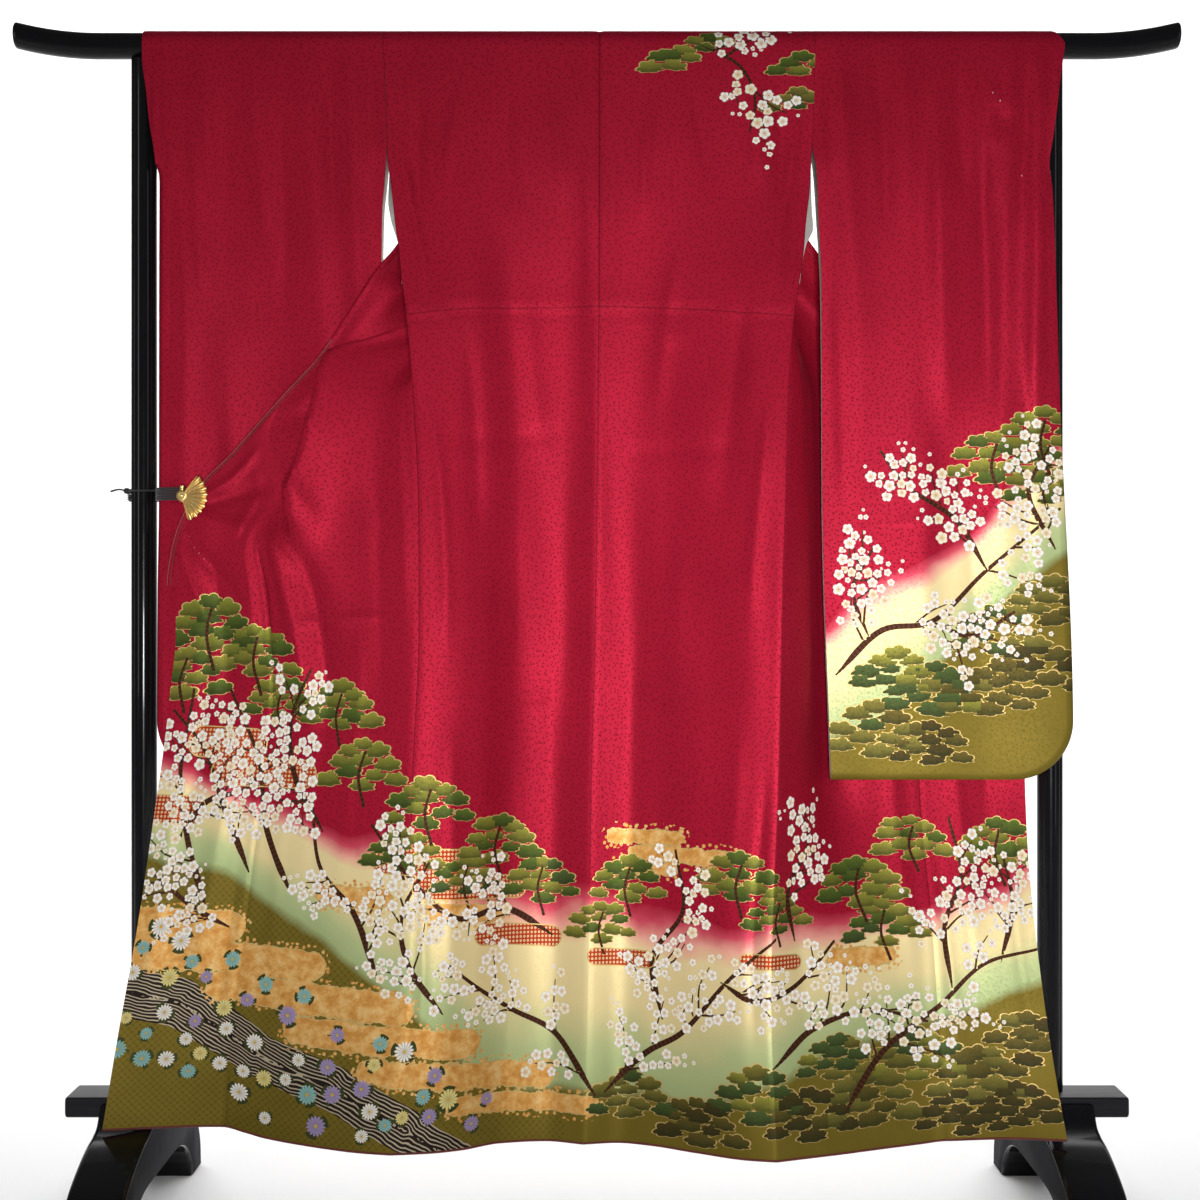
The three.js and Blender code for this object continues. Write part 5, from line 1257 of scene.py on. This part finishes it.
# Pleats of the near layer. Columns: x at the rail, x where the pleat ends, crown, half width.
SLEEVES = {
    "sleeve_left": dict(
        front=LEFT, layers=LEFT_LAYERS, at=FAR_SLEEVE_AT, near_first=False, seed=3,
        pleats=((-362, -340, 5, 11), (-424, -392, 4, 16), (-572, -530, 4, 14), (-628, -596, 5, 12)),
        folds=((-640, 1700, -636, 1440, 2.2, 6), (-616, 1560, -604, 1180, -2.2, 9),
               (-588, 1600, -560, 1300, 1.4, 8),
               (-500, 1690, -478, 1380, 1.6, 10), (-456, 1640, -446, 1280, -1.4, 9),
               (-392, 1690, -370, 1420, -1.6, 8),
               (-340, 1690, -330, 1470, 1.8, 7), (-330, 1400, -334, 1000, 1.3, 9),
               (-420, 1300, -410, 820, 1.2, 16),
               (-540, 1240, -548, 760, -1.1, 18), (-550, 1660, -520, 1150, -2.6, 22),
               (-600, 1100, -606, 700, 1.0, 12), (-470, 1010, -600, 996, 0.7, 9),
               (-330, 900, -420, 888, 0.7, 10))),
    "sleeve_right": dict(
        front=RIGHT, layers=RIGHT_LAYERS, at=SLEEVE_AT, near_first=True, seed=5,
        pleats=((345, 372, 4, 14), (440, 452, 4, 18), (598, 580, 5, 12), (636, 626, 5, 10)),
        folds=((664, 1690, 655, 1500, 1.8, 6), (616, 1690, 606, 1430, -2.0, 7),
               (572, 1680, 560, 1380, 1.5, 9),
               (494, 1640, 500, 1090, 4.4, 22), (556, 1600, 560, 1120, -4.4, 18),
               (626, 1560, 632, 1130, 3.8, 16),
               (520, 1690, 524, 1440, -1.4, 10), (484, 1660, 492, 1300, 1.3, 11),
               (400, 1690, 420, 1400, -1.6, 9),
               (560, 1640, 590, 1596, 1.6, 6), (566, 1604, 604, 1570, -1.5, 6),
               (552, 1575, 590, 1540, 1.2, 6),
               (330, 1690, 336, 1480, 1.6, 7), (346, 1400, 350, 980, 1.2, 10), (470, 1200, 476, 760, 1.1, 17),
               (610, 1320, 622, 860, -1.3, 12), (400, 1010, 640, 1000, 0.7, 9),
               (540, 1060, 548, 720, -1.0, 14))),
}


def sleeve_sheet(front, layers, at, near_first, seed, pleats, folds):
    """Middle surface and flat place of a sleeve, from the bottom of one layer over the rail."""
    curve = {name: smooth_table(rows) for name, rows in layers.items()}
    inner, outer, outer_rear = curve["inner"], curve["outer"], curve["outer_rear"]
    across = np.linspace(0, 1, COLUMNS_ACROSS - 10)
    across = np.sort(np.concatenate([across, 1 - np.array([0.4, 1, 1.8, 3, 4.5, 6.2, 8, 10, 13, 17]) / 350]))
    width = abs(outer(SLEEVE_BOTTOM_Z) - inner(SLEEVE_BOTTOM_Z))
    into_corner = CORNER_R - width * (1 - across)
    fall = np.sqrt(np.maximum(0, CORNER_R ** 2 - np.maximum(0, into_corner) ** 2))
    rise = np.where(into_corner > 0, CORNER_R - fall, 0)
    low = SLEEVE_BOTTOM_Z + rise
    heights = [low + (790 - low) * t ** 1.5 for t in np.linspace(0, 1, 34)]
    heights += [np.full(len(across), z) for z in [*np.arange(795, 1200, 5.0), *np.arange(1200, 1700, 12.0)]]

    def layer(near):
        rows = []
        for z in heights:
            meets = np.clip((z - NOTCH_Z) / 26, 0, 1)
            cuff = outer(z) if near else outer_rear(z)
            sewn = np.array([float(front.edge[0](v)) if near else float(front.free[0](v)) for v in z])
            start = inner(z) + (sewn - inner(z)) * meets
            x = start + (cuff - start) * across
            blend = np.clip((across - 0.72) / 0.28, 0, 1) ** 2
            near_depth, rear = curve["front"](z), curve["rear_inner"](z)
            far_depth = rear + (curve["rear_outer"](z) - rear) * blend
            if near:
                down = np.clip((1700 - z) / 420, 0, 1)
                fade = np.clip((1700 - z) / 90, 0, 1) * np.clip((z - 760) / 500, 0, 1)
                depth = near_depth.copy()
                for top, end, crown, half in pleats:
                    off = (x - top - (end - top) * down) / (half * (1 + down))
                    depth += 1.15 * crown * fade * np.exp(-np.abs(off) ** 1.6)
                sewn_depth = front.edge[1](z)
            else:
                depth = far_depth.copy()
                sewn_depth = -front.free[1](z)
            drawn = meets * np.clip(1 - across / 0.15, 0, 1) ** 2
            depth += (sewn_depth - depth) * drawn
            depth += creases(np.stack([x, z], 1)[None],
                             folds)[0] * (1 if near else -1) * np.clip(across * 14, 0, 1)
            sway = np.sin(x / 27 + z / 180 + seed) * 1.2 + 1.0 * np.sin(x / 51 - z / 260 + 2 * seed)
            depth += sway * (1 if near else -1) * np.clip((1700 - z) / 100, 0, 1)
            # The sewn outline: the two layers run together round the bottom, corner and outer edge.
            middle_depth = (near_depth + far_depth) / 2
            dx, dz = width * (1 - across), z - SLEEVE_BOTTOM_Z
            edge = np.minimum(dx, dz)
            round_it = (dx < CORNER_R) & (dz < CORNER_R)
            edge = np.where(round_it, CORNER_R - np.hypot(CORNER_R - dx, CORNER_R - dz), edge)
            edge = np.where(z > NOTCH_Z, 99, edge + np.clip((z - NOTCH_Z + 14) / 14, 0, 1) * 12)
            open_by = np.sqrt(np.clip(1 - (1 - np.clip(edge / CLOSING, 0, 1)) ** 2, 0.005, 1))
            depth = middle_depth + (depth - middle_depth) * open_by
            depth += (0.75 if near else -0.75) * (1 - open_by)
            rows.append(np.stack([x, -depth, z], 1))
        return rows

    first, second = layer(near_first), layer(not near_first)
    arc = []
    for turn in np.linspace(0, math.pi, ARC_ROWS + 1):
        share = turn / math.pi
        x = first[-1][:, 0] + (second[-1][:, 0] - first[-1][:, 0]) * share
        y = (-1 if near_first else 1) * OVER_R * math.cos(turn)
        arc.append(np.stack([x, np.full(len(x), y), np.full(len(x), 1700 + OVER_R * math.sin(turn))], 1))
    sheet = np.array(first + arc + second[::-1])
    place = at + across * 348
    up = [z - SLEEVE_BOTTOM_Z for z in heights]
    over = [np.full(len(across), 1060 + OVER_R * t) for t in np.linspace(0, math.pi, ARC_ROWS + 1)]
    down = [2120 + OVER_R * math.pi - h for h in up[::-1]]
    flat = np.array([np.stack([place, h], 1) for h in up + over + down])
    return sheet, flat


for name, how in SLEEVES.items():
    side = how["front"].side
    sheet, flat = sleeve_sheet(**how)
    turned = side if how["near_first"] else -side
    keep = np.ones((len(sheet) - 1, sheet.shape[1] - 1), dtype=bool)
    printed = (flat[:-1, :-1, 1] < 720)[keep]
    sleeve = cloth_piece(name + "_silk", sheet, flat, turned, keep, SILK_SIDES, None, printed)
    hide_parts(name)

# ---------------------------------------------------------------- hem roll and stitches
# The lining is rolled out over the hem as a thin padded roll of reddish silk; hand stitches show
# as small dots along the hip tuck. One tree of nodes sews every stitch row.
def cord_points(line, radius, sides=10):
    """Points and faces of a tube along a line; the radius may change along it and round it."""
    line = np.asarray(line, dtype=float)
    way = np.gradient(line, axis=0)
    way /= np.linalg.norm(way, axis=1)[:, None]
    side = np.cross(way, (0, 0, 1.0))
    bare = np.linalg.norm(side, axis=1) < 1e-3
    side[bare] = (1, 0, 0)
    side /= np.linalg.norm(side, axis=1)[:, None]
    up = np.cross(side, way)
    turn = np.linspace(0, 2 * math.pi, sides, endpoint=False)
    if np.ndim(radius) < 2:
        radius = np.broadcast_to(radius, len(line))[:, None]
    rings = line[:, None] + radius[..., None] * (
        side[:, None] * np.cos(turn)[None, :, None] + up[:, None] * np.sin(turn)[None, :, None])
    return ring_sweep(rings)


def trim(name, line, radius, finish, sides=10):
    made = outwards(mesh_piece(name, *cord_points(line, radius, sides), [finish]))
    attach(made, "root")


hem_lines = {
    "hem_back_left": body_sheets["body_left"][0][0],
    "hem_back_right": body_sheets["body_right"][0][0],
    "hem_front_left": body_sheets["body_left"][0][-1][NECK_COLUMNS:],
    "hem_front_right": body_sheets["body_right"][0][-1][NECK_COLUMNS:],
    "hem_panel_left": panel_sheets["okumi_left"][-1],
    "hem_panel_right": panel_sheets["okumi_right"][-1],
}
for name, line in hem_lines.items():
    trim(name, line / 1000 - (0, 0, 0.0006), 0.0017, piping)


def stitch_tree():
    """Geometry Nodes: short thread lengths laid along a line of edges."""
    tree = bpy.data.node_groups.new("hand_stitches", "GeometryNodeTree")
    tree.interface.new_socket("Geometry", in_out="INPUT", socket_type="NodeSocketGeometry")
    for label, start in (("Spacing", 0.008), ("Stitch Length", 0.0022), ("Thread Radius", 0.00045)):
        tree.interface.new_socket(label, in_out="INPUT", socket_type="NodeSocketFloat").default_value = start
    tree.interface.new_socket("Thread", in_out="INPUT", socket_type="NodeSocketMaterial")
    tree.interface.new_socket("Geometry", in_out="OUTPUT", socket_type="NodeSocketGeometry")
    add = tree.nodes.new
    start, end = add("NodeGroupInput"), add("NodeGroupOutput")
    line, evenly = add("GeometryNodeMeshToCurve"), add("GeometryNodeResampleCurve")
    places, turn = add("GeometryNodeCurveToPoints"), add("FunctionNodeAlignEulerToVector")
    bead, size = add("GeometryNodeMeshUVSphere"), add("ShaderNodeCombineXYZ")
    lay, real = add("GeometryNodeInstanceOnPoints"), add("GeometryNodeRealizeInstances")
    paint, half = add("GeometryNodeSetMaterial"), add("ShaderNodeMath")
    evenly.mode, places.mode, turn.axis, half.operation = "LENGTH", "EVALUATED", "X", "MULTIPLY"
    half.inputs[1].default_value = 0.5
    for socket, value in (("Segments", 8), ("Rings", 5), ("Radius", 1.0)):
        bead.inputs[socket].default_value = value
    for giver, output, taker, socket in (
            (start, "Geometry", line, "Mesh"), (line, "Curve", evenly, "Curve"),
            (start, "Spacing", evenly, "Length"), (evenly, "Curve", places, "Curve"),
            (places, "Tangent", turn, "Vector"), (start, "Stitch Length", half, 0),
            (half, 0, size, 0), (start, "Thread Radius", size, 1), (start, "Thread Radius", size, 2),
            (places, "Points", lay, "Points"), (bead, "Mesh", lay, "Instance"),
            (turn, "Rotation", lay, "Rotation"), (size, 0, lay, "Scale"),
            (lay, "Instances", real, "Geometry"), (real, "Geometry", paint, "Geometry"),
            (start, "Thread", paint, "Material"), (paint, "Geometry", end, "Geometry")):
        tree.links.new(giver.outputs[output], taker.inputs[socket])
    return tree


hand_stitches = stitch_tree()
thread = Finish("silk_thread", Sheen_Weight=0.2)
thread.varied(dye(70, 8, 22), dye(104, 16, 34), (900.0, 2.0), (1500.0, 2.0, 0.2, 0.45),
              (3000.0, 2.0, 0.2, 0.0002))


def stitch_row(name, line, spacing, length, radius):
    """Sews a row of stitches along a line of points in metres."""
    mesh = bpy.data.meshes.new(name + "_line")
    mesh.from_pydata([tuple(p) for p in line], [(i, i + 1) for i in range(len(line) - 1)], [])
    guide = bpy.data.objects.new(name + "_line", mesh)
    bpy.context.collection.objects.link(guide)
    sewing = guide.modifiers.new("sewing", "NODES")
    sewing.node_group = hand_stitches
    sizes = {"Spacing": spacing, "Stitch Length": length, "Thread Radius": radius, "Thread": thread.material}
    for item in hand_stitches.interface.items_tree:
        if item.in_out == "INPUT" and item.name in sizes:
            sewing[item.identifier] = sizes[item.name]
    done = guide.evaluated_get(bpy.context.evaluated_depsgraph_get())
    sewn = bpy.data.objects.new(name, bpy.data.meshes.new_from_object(done))
    guide.modifiers.remove(sewing)
    bpy.data.objects.remove(guide)
    bpy.context.collection.objects.link(sewn)
    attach(sewn, "root")


def back_point(front, s, z, off):
    """A point on the back of a body length, off the silk towards the viewer, in metres."""
    u = min(1.0, abs(s) / HALF_BACK)
    x = middle[0](z) + (front.edge[0](z) - middle[0](z)) * u
    depth = middle[1](z) + (front.edge[1](z) - middle[1](z)) * front.sweep(u)
    return np.array([x, -depth - off, z]) / 1000


for name, front in (("tuck_stitches_left", LEFT), ("tuck_stitches_right", RIGHT)):
    run = front.side * np.linspace(4, 284, 60)
    stitch_row(name, [back_point(front, s, float(TUCK(s)) + 2.0, 2.3) for s in run], 0.012, 0.0018, 0.0005)

# ---------------------------------------------------------------- pipings
# Two fine pipings are sewn along the collar of the held-out front, from the collar's end up past the
# clip: an inner one of reddish silk, and an outer one whose rose, lighter than the silk, is painted
# highlight.
# The outer piping's rose, lighter than the silk, is painted highlight.
piping_painted_highlight = Finish("piping_painted_highlight", Sheen_Weight=0.2)
piping_painted_highlight.varied(dye(150, 62, 66), dye(178, 92, 92), (40.0, 2.0), (300.0, 2.0, 0.2, 0.5),
                   (900.0, 2.0, 0.2, 0.0003))
PIPING_TOP_Z = 1270
for name, column, off, finish in (("piping_outer", 7, (0, -1.1, 0), piping_painted_highlight),
                                  ("piping_inner", 4, (0, -1.0, 0), piping)):
    line = [band[i, column] + off for i in range(len(down)) if COLLAR_END_Z <= stops[i][2] <= PIPING_TOP_Z]
    trim(name, np.array(line) / 1000, 0.00055, finish, 8)

# ---------------------------------------------------------------- fan clip
# A small spring clip of gilt brass: a pleated fan that opens from its pivot, a rolled hinge
# barrel behind it and a flat jaw at the back. It grips the collar's edge and holds the front out.
gilt = Finish("gilt_brass", Coat_Weight=0.1)
gilt.feed("Metallic", gilt.noise(60.0, 2.0) * 0.1 + 0.9)
gilt.varied((0.62, 0.40, 0.13), (0.80, 0.58, 0.24), (160.0, 4.0), (300.0, 3.0, 0.22, 0.20),
            (700.0, 2.0, 0.12, 0.0002))
CLIP = np.array([-592, -45.1, 1046.0])
BARREL_R, FAN_R, FAN_PLEATS, PLEAT_DEPTH, FAN_PLATE, ROOT_R = 4.2, 37, 9, 2.2, 1.3, 6
FAN_FROM, FAN_SPREAD = -75, 127                         # degrees: the fan's lowest rib, and its opening
CLIP_PLAY = 0.3
fan_back = CLIP[1] - BARREL_R - CLIP_PLAY - 1.2
rings = []
for i in range(FAN_PLEATS * 16 + 1):
    share = i / (FAN_PLEATS * 16)
    angle = math.radians(FAN_FROM + FAN_SPREAD * share)
    ridge = 0.5 - 0.5 * math.cos(2 * math.pi * FAN_PLEATS * share)
    ridge = min(1.0, max(0.0, (ridge - 0.5) * 1.25 + 0.5))
    reach, lift = FAN_R - PLEAT_DEPTH * (1 - ridge), PLEAT_DEPTH * ridge
    put = lambda r, y: (CLIP[0] + r * math.cos(angle), y, CLIP[2] + r * math.sin(angle))
    ring = [put(ROOT_R + (reach - ROOT_R) * t, fan_back - lift * t) for t in (0, 0.33, 0.66, 0.97)]
    ring += [put(reach, fan_back - lift * 0.99 - 0.4), put(reach, fan_back - lift - FAN_PLATE + 0.4)]
    ring += [put(ROOT_R + (reach - ROOT_R) * t,
                 fan_back - lift * t - FAN_PLATE - 0.4 * (1 - t)) for t in (0.975, 0.66, 0.33, 0)]
    rings.append(ring)
points, faces = ring_sweep(rings)


def joined(parts):
    """One set of points and faces from several."""
    points, faces, at = [], [], 0
    for p, f in parts:
        points.append(np.asarray(p, dtype=float))
        faces += [tuple(i + at for i in face) for face in f]
        at += len(p)
    return np.vstack(points), faces


def lathe(profile, centre, axis, sides=40):
    """Turned part: profile of radius and distance along the axis."""
    rings = []
    for radius, along in profile:
        turn = np.linspace(0, 2 * math.pi, sides, endpoint=False)
        a, b, c = radius * np.cos(turn), radius * np.sin(turn), np.full(sides, along)
        ring = {"y": (a, c, b), "z": (a, b, c)}[axis]
        rings.append(np.stack(ring, 1) + centre)
    return ring_sweep(rings)


hub_front = CLIP[1] - BARREL_R - CLIP_PLAY - 3.2
hub = lathe(((7.4, 3.1), (7.4, 0.6), (6.9, 0.1), (5.2, -0.1), (5.0, 0.35), (2.6, 0.35), (2.3, -0.3),
             (1.2, -0.75), (0.05, -0.85)),
            np.array([CLIP[0], hub_front, CLIP[2]]), "y")
ribs = []
for i in range(FAN_PLEATS + 1):
    angle = math.radians(FAN_FROM + FAN_SPREAD * i / FAN_PLEATS)
    tip = [np.array([CLIP[0] + r * math.cos(angle), fan_back - FAN_PLATE - 0.55,
                     CLIP[2] + r * math.sin(angle)])
           for r in np.linspace(8, FAN_R - PLEAT_DEPTH - 0.5, 8)]
    ribs.append(cord_points(tip, 0.35, 8))
rim = [np.array(r[5]) + (0, 0.2, 0) for r in rings]
points, faces = joined([(points, faces), hub, *ribs, cord_points(rim, 0.42, 8)])
fan = outwards(mesh_piece("clip_fan_gilt", points / 1000, faces, [gilt], crease=30))
barrel_profile = [(0.05, -12), (3.4, -12), (4.1, -11.4)]
for knuckle in range(5):
    low = -11.4 + knuckle * 4.6
    barrel_profile += [(4.2, low + 0.4), (4.2, low + 4.0), (3.6, low + 4.3), (4.1, low + 4.55)]
barrel_profile += [(3.4, 12), (0.05, 12)]
points, faces = lathe(barrel_profile, CLIP + (0, 0, 3), "z")
hinge = outwards(mesh_piece("clip_hinge_gilt", points / 1000, faces, [gilt], crease=30))
jaw_x, jaw_y = CLIP[0] - BARREL_R, CLIP[1] + BARREL_R + CLIP_PLAY
rings = []
for x, inset in ((0, 0.8), (0.5, 0.2), (1.2, 0), (10, 0), (31, 0), (32.4, 0.3), (33, 1.2)):
    low, high, d = CLIP[2] - 6.5 + inset, CLIP[2] + 6.5 - inset, 0.35
    near, far = jaw_y + inset * 0.3, jaw_y + 1.8 - inset * 0.3
    corners = ((near + d, low), (far - d, low), (far, low + d), (far, high - d),
               (far - d, high), (near + d, high), (near, high - d), (near, low + d))
    rings.append([(jaw_x + x, y, z) for y, z in corners])
points, faces = ring_sweep(rings)
jaw = outwards(mesh_piece("clip_back_jaw_gilt", points / 1000, faces, [gilt], crease=30))
for made, node in ((fan, "clip_fan"), (hinge, "clip_hinge"), (jaw, "clip_back_jaw")):
    fitted(made, node)

# ---------------------------------------------------------------- cord to the post
# Five strands of a black silk cord run side by side from the clip round the back of the post; its
# end crosses the post's front to a small knot. All of it lies fast, so none is a free cord.
silk_cord = Finish("black_silk_cord", Sheen_Weight=0.3)
# The cord is lighter where the twist stands raised in the bump: painted sheen on the plies' crowns.
twist = silk_cord.node("ShaderNodeTexWave", {"bands_direction": "DIAGONAL"},
                       {"Vector": silk_cord.place(), "Scale": 260.0})
silk_cord.feed("Base Color", silk_cord.mix(twist, dye(16, 16, 18), dye(40, 39, 42)))
silk_cord.feed("Roughness", silk_cord.noise(400.0, 2.0) * 0.2 + 0.55)
silk_cord.bump(twist, 0.5, 0.0004)
STRAND_ROUTE = ((-596.5, -44), (-612, -42), (-626, -35), (-633.6, -24), (-635.2, -10), (-636, 4), (-640, 14),
                (-649, 20.6),
                (-659, 21), (-668, 18.6), (-675, 12), (-678, 3))


def twisted(node, line, radius, sides=14):
    """A cord of three twisted plies, its radius swelling with each ply."""
    line = rounded_line(line, 0.9)
    run = np.concatenate([[0], np.cumsum(np.linalg.norm(np.diff(line, axis=0), axis=1))])
    turn = np.linspace(0, 2 * math.pi, sides, endpoint=False)
    ply = radius * (0.90 + 0.10 * np.abs(np.cos(1.5 * (turn[None] + run[:, None] * 0.9))) ** 0.6)
    points, faces = cord_points(line, ply, sides)
    fitted(outwards(mesh_piece(node + "_silk", points / 1000, faces, [silk_cord])), node)


for strand in range(5):
    z = 1041.4 + 3.8 * strand
    twisted(f"cord_strand_{strand + 1}", [(x, y, z) for x, y in STRAND_ROUTE], 1.75)
FRONT_CORD = ((-636.4, -16), (-642, -16.2), (-649.2, -18.9), (-656.5, -20.1), (-663.8, -18.9),
              (-670.8, -15.2), (-676.9, -10.1))
twisted("cord_front", [(x, y, 1055) for x, y in FRONT_CORD], 1.2)
parts = []
turn = np.linspace(0, 2 * math.pi, 60)
for lean in (0.0, 1.1, 2.2):
    loop = np.stack([3.3 * np.cos(turn), 3.3 * np.sin(turn) * math.cos(lean),
                     3.3 * np.sin(turn) * math.sin(lean)], 1)
    parts.append(cord_points(loop + (-680.5, -6.2, 1055), 1.5, 10))
tail = rounded_line(((-681.5, -6.4, 1055), (-691.5, -7, 1057), (-703.5, -7.5, 1054)), 1.0)
parts.append(cord_points(tail, np.linspace(1.2, 1.5, len(tail)), 10))
whip = [(-677.95 + 2.6 * math.cos(t), -0.1 + 2.6 * math.sin(t), 1041 + 0.44 * t)
        for t in np.linspace(0, 2 * math.pi * 6, 150)]
parts.append(cord_points(whip, 0.7, 8))
points, faces = joined(parts)
knot = outwards(mesh_piece("cord_knot_silk", points / 1000, faces, [silk_cord]))
fitted(knot, "cord_knot")
